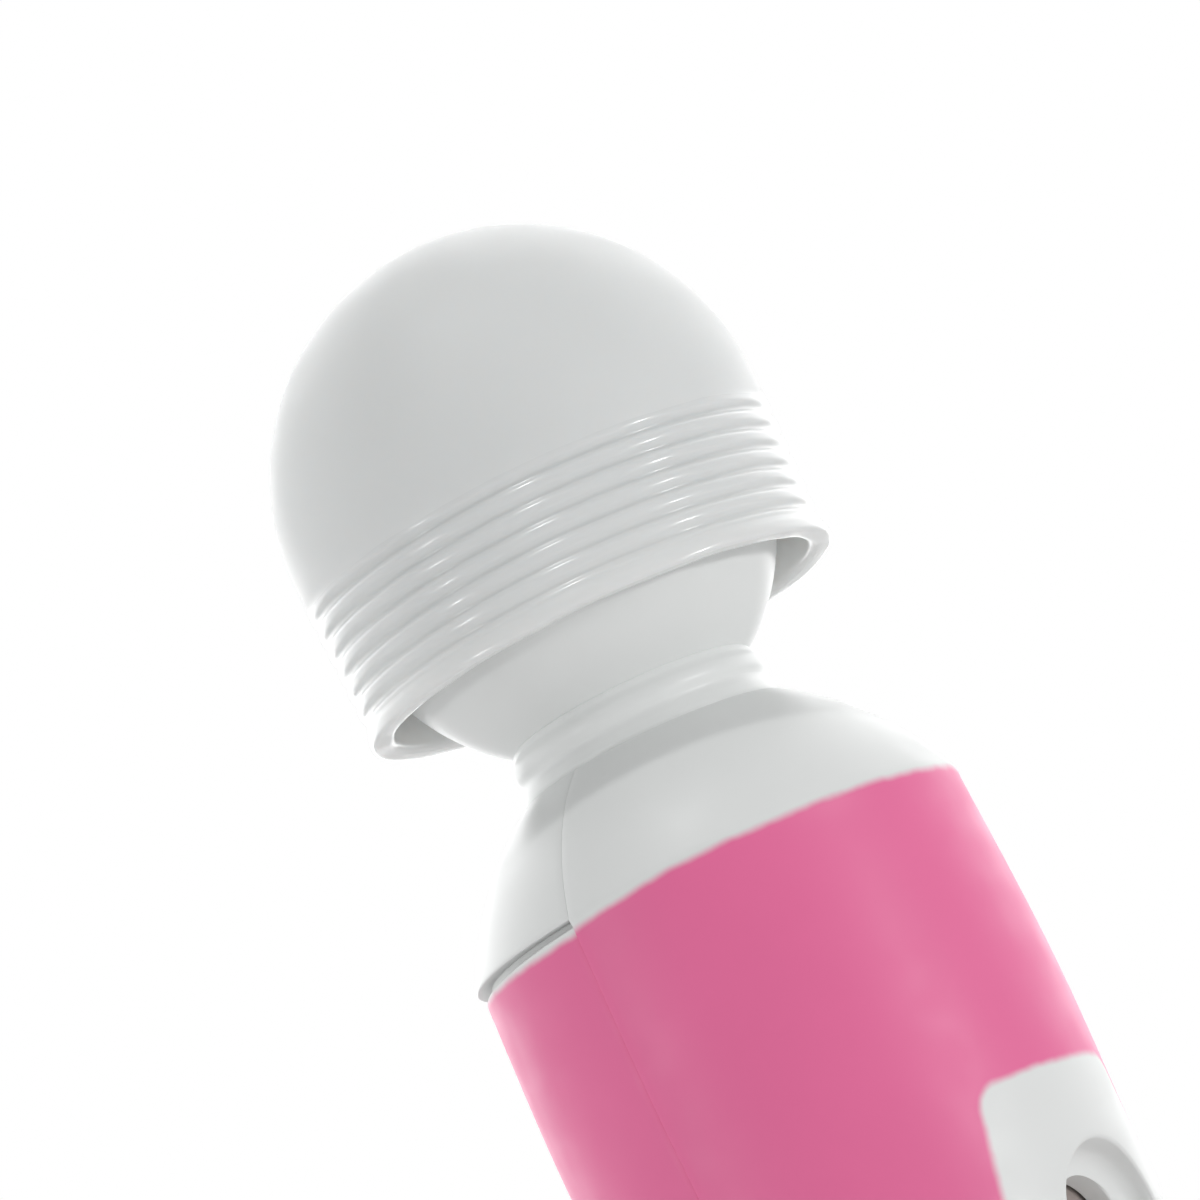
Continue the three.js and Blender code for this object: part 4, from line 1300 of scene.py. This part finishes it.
# %% Turned pieces, each from a few corners
MOTOR_FOOT, MOTOR_TOP = 163.5, 183.5
TURNED = [
    ("collar", "neck_collar", "handle", "grey_plastic", grey_nylon, [
        (3.2, 146.3, 0.2), (15.7, 146.3, 0.3), (15.7, 148.3, 0.3), (8.6, 148.3, 0.2), (8.6, 150.6, 0.3),
        (5.8, 150.6, 0.1), (5.8, 153.5, 0.4), (3.2, 153.5, 0.2)]),
    ("clamp", "clamp_ring", "head", "grey_plastic", grey_nylon, [
        (11.9, 176.4, 0.2), (15.4, 176.4, 0.3), (15.4, 177.9, 0.3), (11.9, 177.9, 0.3)]),
    ("sleeve", "motor_sleeve", "head", "black_rubber", damping_rubber, [
        (10.3, 166.5, 0.2), (11.4, 166.5, 0.3), (11.4, 174.6, 0.2), (15.2, 174.6, 0.3), (15.2, 176.1, 0.3),
        (11.6, 176.1, 0.2), (11.6, 181.5, 0.3), (10.3, 181.5, 0.2)]),
    ("can", "motor_can", "head", "steel", plated_steel, [
        (3.3, 182.8, 0.1), (9.3, 182.8, 0.6), (9.3, MOTOR_FOOT, 0.1), (10, MOTOR_FOOT, 0.1),
        (10, MOTOR_TOP, 0.9), (3.3, MOTOR_TOP, 0.2)]),
    ("end_cap", "motor_end_cap", "head", "black_plastic", black_nylon, [
        (2.7, 163.7, 0.2), (9.0, 163.7, 0.3), (9.0, 165.3, 0.2), (2.7, 165.3, 0.1)]),
    ("bearing_rear", "rear_bearing", "head", "brass", turned_brass, [
        (1.3, 163.6, 0.1), (2.4, 163.6, 0.2), (2.4, 165.6, 0.2), (1.3, 165.6, 0.1)]),
    ("bearing_front", "front_bearing", "head", "brass", turned_brass, [
        (1.3, 182.6, 0.1), (3.0, 182.6, 0.2), (3.0, 184.6, 0.3), (1.3, 184.6, 0.1)]),
    ("shaft", "motor_shaft", "rotor", "steel", plated_steel, [
        (0, 163.9, 0), (1.0, 163.9, 0.3), (1.0, 192.3, 0.3), (0, 192.3, 0)]),
    ("slip_segments", "commutator", "rotor", "copper", bright_copper, [
        (1.3, 165.9, 0.1), (2.6, 165.9, 0.15), (2.6, 168.6, 0.15), (1.3, 168.6, 0.1)]),
]
for name, node, body, slot_name, finish, corners in TURNED:
    if corners[0][0] > 0:
        start = tuple((a + b) / 2 for a, b in zip(corners[0][:2], corners[-1][:2])) + (0,)
        corners = [start] + corners + [start]
        outline = filleted(corners, 3)[:-1]
    else:
        outline = filleted(corners, 4)
    turned_piece(name, outline, body, slot_name, finish, [node], columns=72)

# %% Flat outlines given a thickness: the weight, the magnets and the iron core


def arc_points(radius, start, stop, step=5):
    count = max(2, round(abs(stop - start) / step))
    turn = [math.radians(start + (stop - start) * i / count) for i in range(count + 1)]
    return [(radius * math.cos(a), radius * math.sin(a)) for a in turn]


def pulled_in(ring, pull, z):
    """The ring moved towards the axis by pull, at the height z."""
    shares = [1 - pull / math.hypot(x, y) for x, y in ring]
    return [(x * share, y * share, z) for (x, y), share in zip(ring, shares)]


def stacked(ring, low, high, bore):
    """A plate with a round bore: two rings of the same count, joined over both ends."""
    count = len(ring)
    hole = []
    for x, y in ring:
        a = math.atan2(y, x)
        hole.append((bore * math.cos(a), bore * math.sin(a)))
    chamfer = 0.15
    rows = [[(x, y, low + chamfer) for x, y in hole]]
    rows.append([(x * (1 + chamfer / bore), y * (1 + chamfer / bore), low) for x, y in hole])
    for pull, z in ((chamfer, low), (0, low + chamfer), (0, high - chamfer), (chamfer, high)):
        rows.append(pulled_in(ring, pull, z))
    rows.append([(x * (1 + chamfer / bore), y * (1 + chamfer / bore), high) for x, y in hole])
    rows.append([(x, y, high - chamfer) for x, y in hole])
    rows.append(rows[0])
    return flat(rows), quads(len(rows), count, True)


moon = arc_points(8.2, 4.3, 175.7) + arc_points(3.0, 168.5, 371.5, 8)
make_piece("swing_weight", *stacked(moon, 185.4, 191.2, 1.3), "rotor", "brass", turned_brass,
           ["eccentric_weight"])
pole = []
for k in range(3):
    shoe = arc_points(6.8, 120 * k - 37, 120 * k + 37)
    under = arc_points(5.6, 120 * k + 37, 120 * k + 13, 8)
    root = arc_points(2.7, 120 * k + 26, 120 * k + 94, 12)
    back_under = arc_points(5.6, 120 * k + 107, 120 * k + 83, 8)
    pole += shoe + under + root + back_under
make_piece("iron_core", *stacked(pole, 169.5, 179.5, 1.3), "rotor", "ferrite", iron, ["armature"])
for side_name, side in (("left", 180), ("right", 0)):
    outline = arc_points(9.0, side - 71, side + 71) + arc_points(7.3, side + 68, side - 68, 136 / 28)
    rows = [[(x, y, z) for x, y in outline] for z in (168.5, 180.5)]
    count = len(outline)
    half = count // 2
    ends = []
    for first in (0, count):
        last = first + count - 1
        ends += [(first + i, first + i + 1, last - 1 - i, last - i) for i in range(half - 1)]
    make_piece(f"magnet_{side_name}", flat(rows), quads(2, count, True) + ends, "head", "ferrite", iron,
               [f"field_magnet_{side_name}"])
    low, high = box_mm(f"motor_terminal_{side_name}")
    make_piece(f"tab_{side_name}", *block_shape(low, high, 0.1), "head", "copper", bright_copper,
               [f"motor_terminal_{side_name}"])
    low, high = box_mm(f"brush_{side_name}")
    make_piece(f"contact_{side_name}", *block_shape(low, high, 0.08), "head", "copper", bright_copper,
               [f"brush_{side_name}"])

# %% [markdown]
# ## Pieces that keep their mechanical shape
# The switch is a stamped steel box with a moulded lever, both square, small and out of sight.
# Their frame shapes are already right, so they only get a finish.

# %% Finishes for the switch
for node, finish in (("switch_housing", plated_steel), ("switch_lever", black_nylon)):
    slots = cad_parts[node].data.materials
    if len(slots):
        slots[0] = finish
    else:
        slots.append(finish)
print("kept as they are: switch_housing, switch_lever")

# %% [markdown]
# ## Floor, light and camera
# The object is shown as in a bright cyclorama: everything behind it is white, which burns its
# edges out, and the side facing the viewer gets softer light, so its greys model the form. A
# plain white world would flatten it. Instead the world is brighter behind than in front, and a few
# softboxes draw the streaks on the ribs and the broad band of light on the pink side.

# %% A world that is brighter behind
VIEW_AZIMUTH, VIEW_ELEVATION = math.radians(-57), math.radians(-10.6)
to_viewer = Vector((math.sin(VIEW_AZIMUTH) * math.cos(VIEW_ELEVATION),
                    -math.cos(VIEW_AZIMUTH) * math.cos(VIEW_ELEVATION), math.sin(VIEW_ELEVATION)))
DIFFUSE_LEVELS = (0.395, 0.9)
GLOSS_LEVELS = (0.4, 2.8)
brightest = (-to_viewer + Vector((0.2, 0.1, 0.2))).normalized()

scene = bpy.context.scene
world = bpy.data.worlds.new("cyclorama")
scene.world = world
world.use_nodes = True
nodes, links = world.node_tree.nodes, world.node_tree.links
sky = nodes["Background"]
direction = nodes.new("ShaderNodeTexCoord").outputs["Generated"]
behind_amount = nodes.new("ShaderNodeVectorMath")
behind_amount.operation = "DOT_PRODUCT"
links.new(direction, behind_amount.inputs[0])
behind_amount.inputs[1].default_value = brightest


def level(low_high, start):
    ramp = nodes.new("ShaderNodeMapRange")
    ramp.interpolation_type = "SMOOTHSTEP"
    settings = {"From Min": start, "From Max": 1.0, "To Min": low_high[0], "To Max": low_high[1]}
    for key, value in settings.items():
        ramp.inputs[key].default_value = value
    links.new(behind_amount.outputs["Value"], ramp.inputs["Value"])
    return ramp.outputs["Result"]


def choose(switch, when_off, when_on):
    mixer = nodes.new("ShaderNodeMix")
    links.new(switch, mixer.inputs["Factor"])
    links.new(when_off, mixer.inputs["A"])
    if isinstance(when_on, float):
        mixer.inputs["B"].default_value = when_on
    else:
        links.new(when_on, mixer.inputs["B"])
    return mixer.outputs["Result"]


rays = nodes.new("ShaderNodeLightPath").outputs
lit = choose(rays["Is Glossy Ray"], level(DIFFUSE_LEVELS, -0.3), level(GLOSS_LEVELS, 0.1))
sky.inputs["Color"].default_value = (1, 1, 1, 1)
links.new(choose(rays["Is Camera Ray"], lit, 1.0), sky.inputs["Strength"])
scene.view_settings.view_transform = "Standard"
print("world, front and back:", DIFFUSE_LEVELS, "in reflections:", GLOSS_LEVELS)

# %% The floor
bpy.ops.mesh.primitive_plane_add(size=3, location=(0, 0, -0.0001))
floor = bpy.context.object
floor.name = "floor"
paper = Finish("floor_paper")
paper.set(Base_Color=paper.blend(paper.noise(3), (0.83, 0.83, 0.83, 1), (0.86, 0.86, 0.86, 1)), Roughness=0.6)
floor.data.materials.append(paper.material)

# %% The softboxes
LOOK_Z = 168.3 * MM
SIDEWAYS = Vector((math.cos(VIEW_AZIMUTH), math.sin(VIEW_AZIMUTH), 0))
aim = Vector((0, 0, LOOK_Z)) + SIDEWAYS * 1.32 * MM
UPWARD = to_viewer.cross(SIDEWAYS)


def softbox(name, right, up, toward, width, height, power):
    """An area light aimed at the head, placed to the right, upwards and towards the viewer."""
    lamp = bpy.data.lights.new(name, "AREA")
    lamp.shape = "RECTANGLE"
    lamp.size, lamp.size_y, lamp.energy = width, height, power
    box = bpy.data.objects.new(name, lamp)
    box.location = aim + SIDEWAYS * right + UPWARD * up + to_viewer * toward
    box.rotation_euler = (box.location - aim).to_track_quat("Z", "Y").to_euler()
    scene.collection.objects.link(box)


softbox("left_window", -0.33, 0.06, 0.26, 0.03, 0.05, 0.18)
softbox("right_window", 0.43, 0.0, 0.26, 0.045, 0.045, 0.6)
softbox("left_fill", -0.5, 0.0, -0.05, 0.3, 0.4, 0.18)
softbox("low_fill", 0.0, -0.13, 0.5, 0.4, 0.06, 0.12)
softbox("top_window", -0.01, 0.49, 0.12, 0.04, 0.04, 0.4)

# %% The camera, tilted so that the object leans to the left
ROLL = math.radians(25.6)
across = SIDEWAYS * math.cos(ROLL) - UPWARD * math.sin(ROLL)
upright = SIDEWAYS * math.sin(ROLL) + UPWARD * math.cos(ROLL)
lens = bpy.data.cameras.new("camera")
SENSOR_WIDTH = 36
DISTANCE = 0.6
FRAME_WIDTH = 0.095
lens.sensor_width = SENSOR_WIDTH
lens.lens = SENSOR_WIDTH * DISTANCE / FRAME_WIDTH
camera = bpy.data.objects.new("camera", lens)
turn = Matrix((across, upright, to_viewer)).transposed().to_4x4()
camera.matrix_world = Matrix.Translation(aim + to_viewer * DISTANCE) @ turn
scene.collection.objects.link(camera)
scene.camera = camera
print("camera at", [round(c, 3) for c in camera.matrix_world.translation], "lens", round(lens.lens))
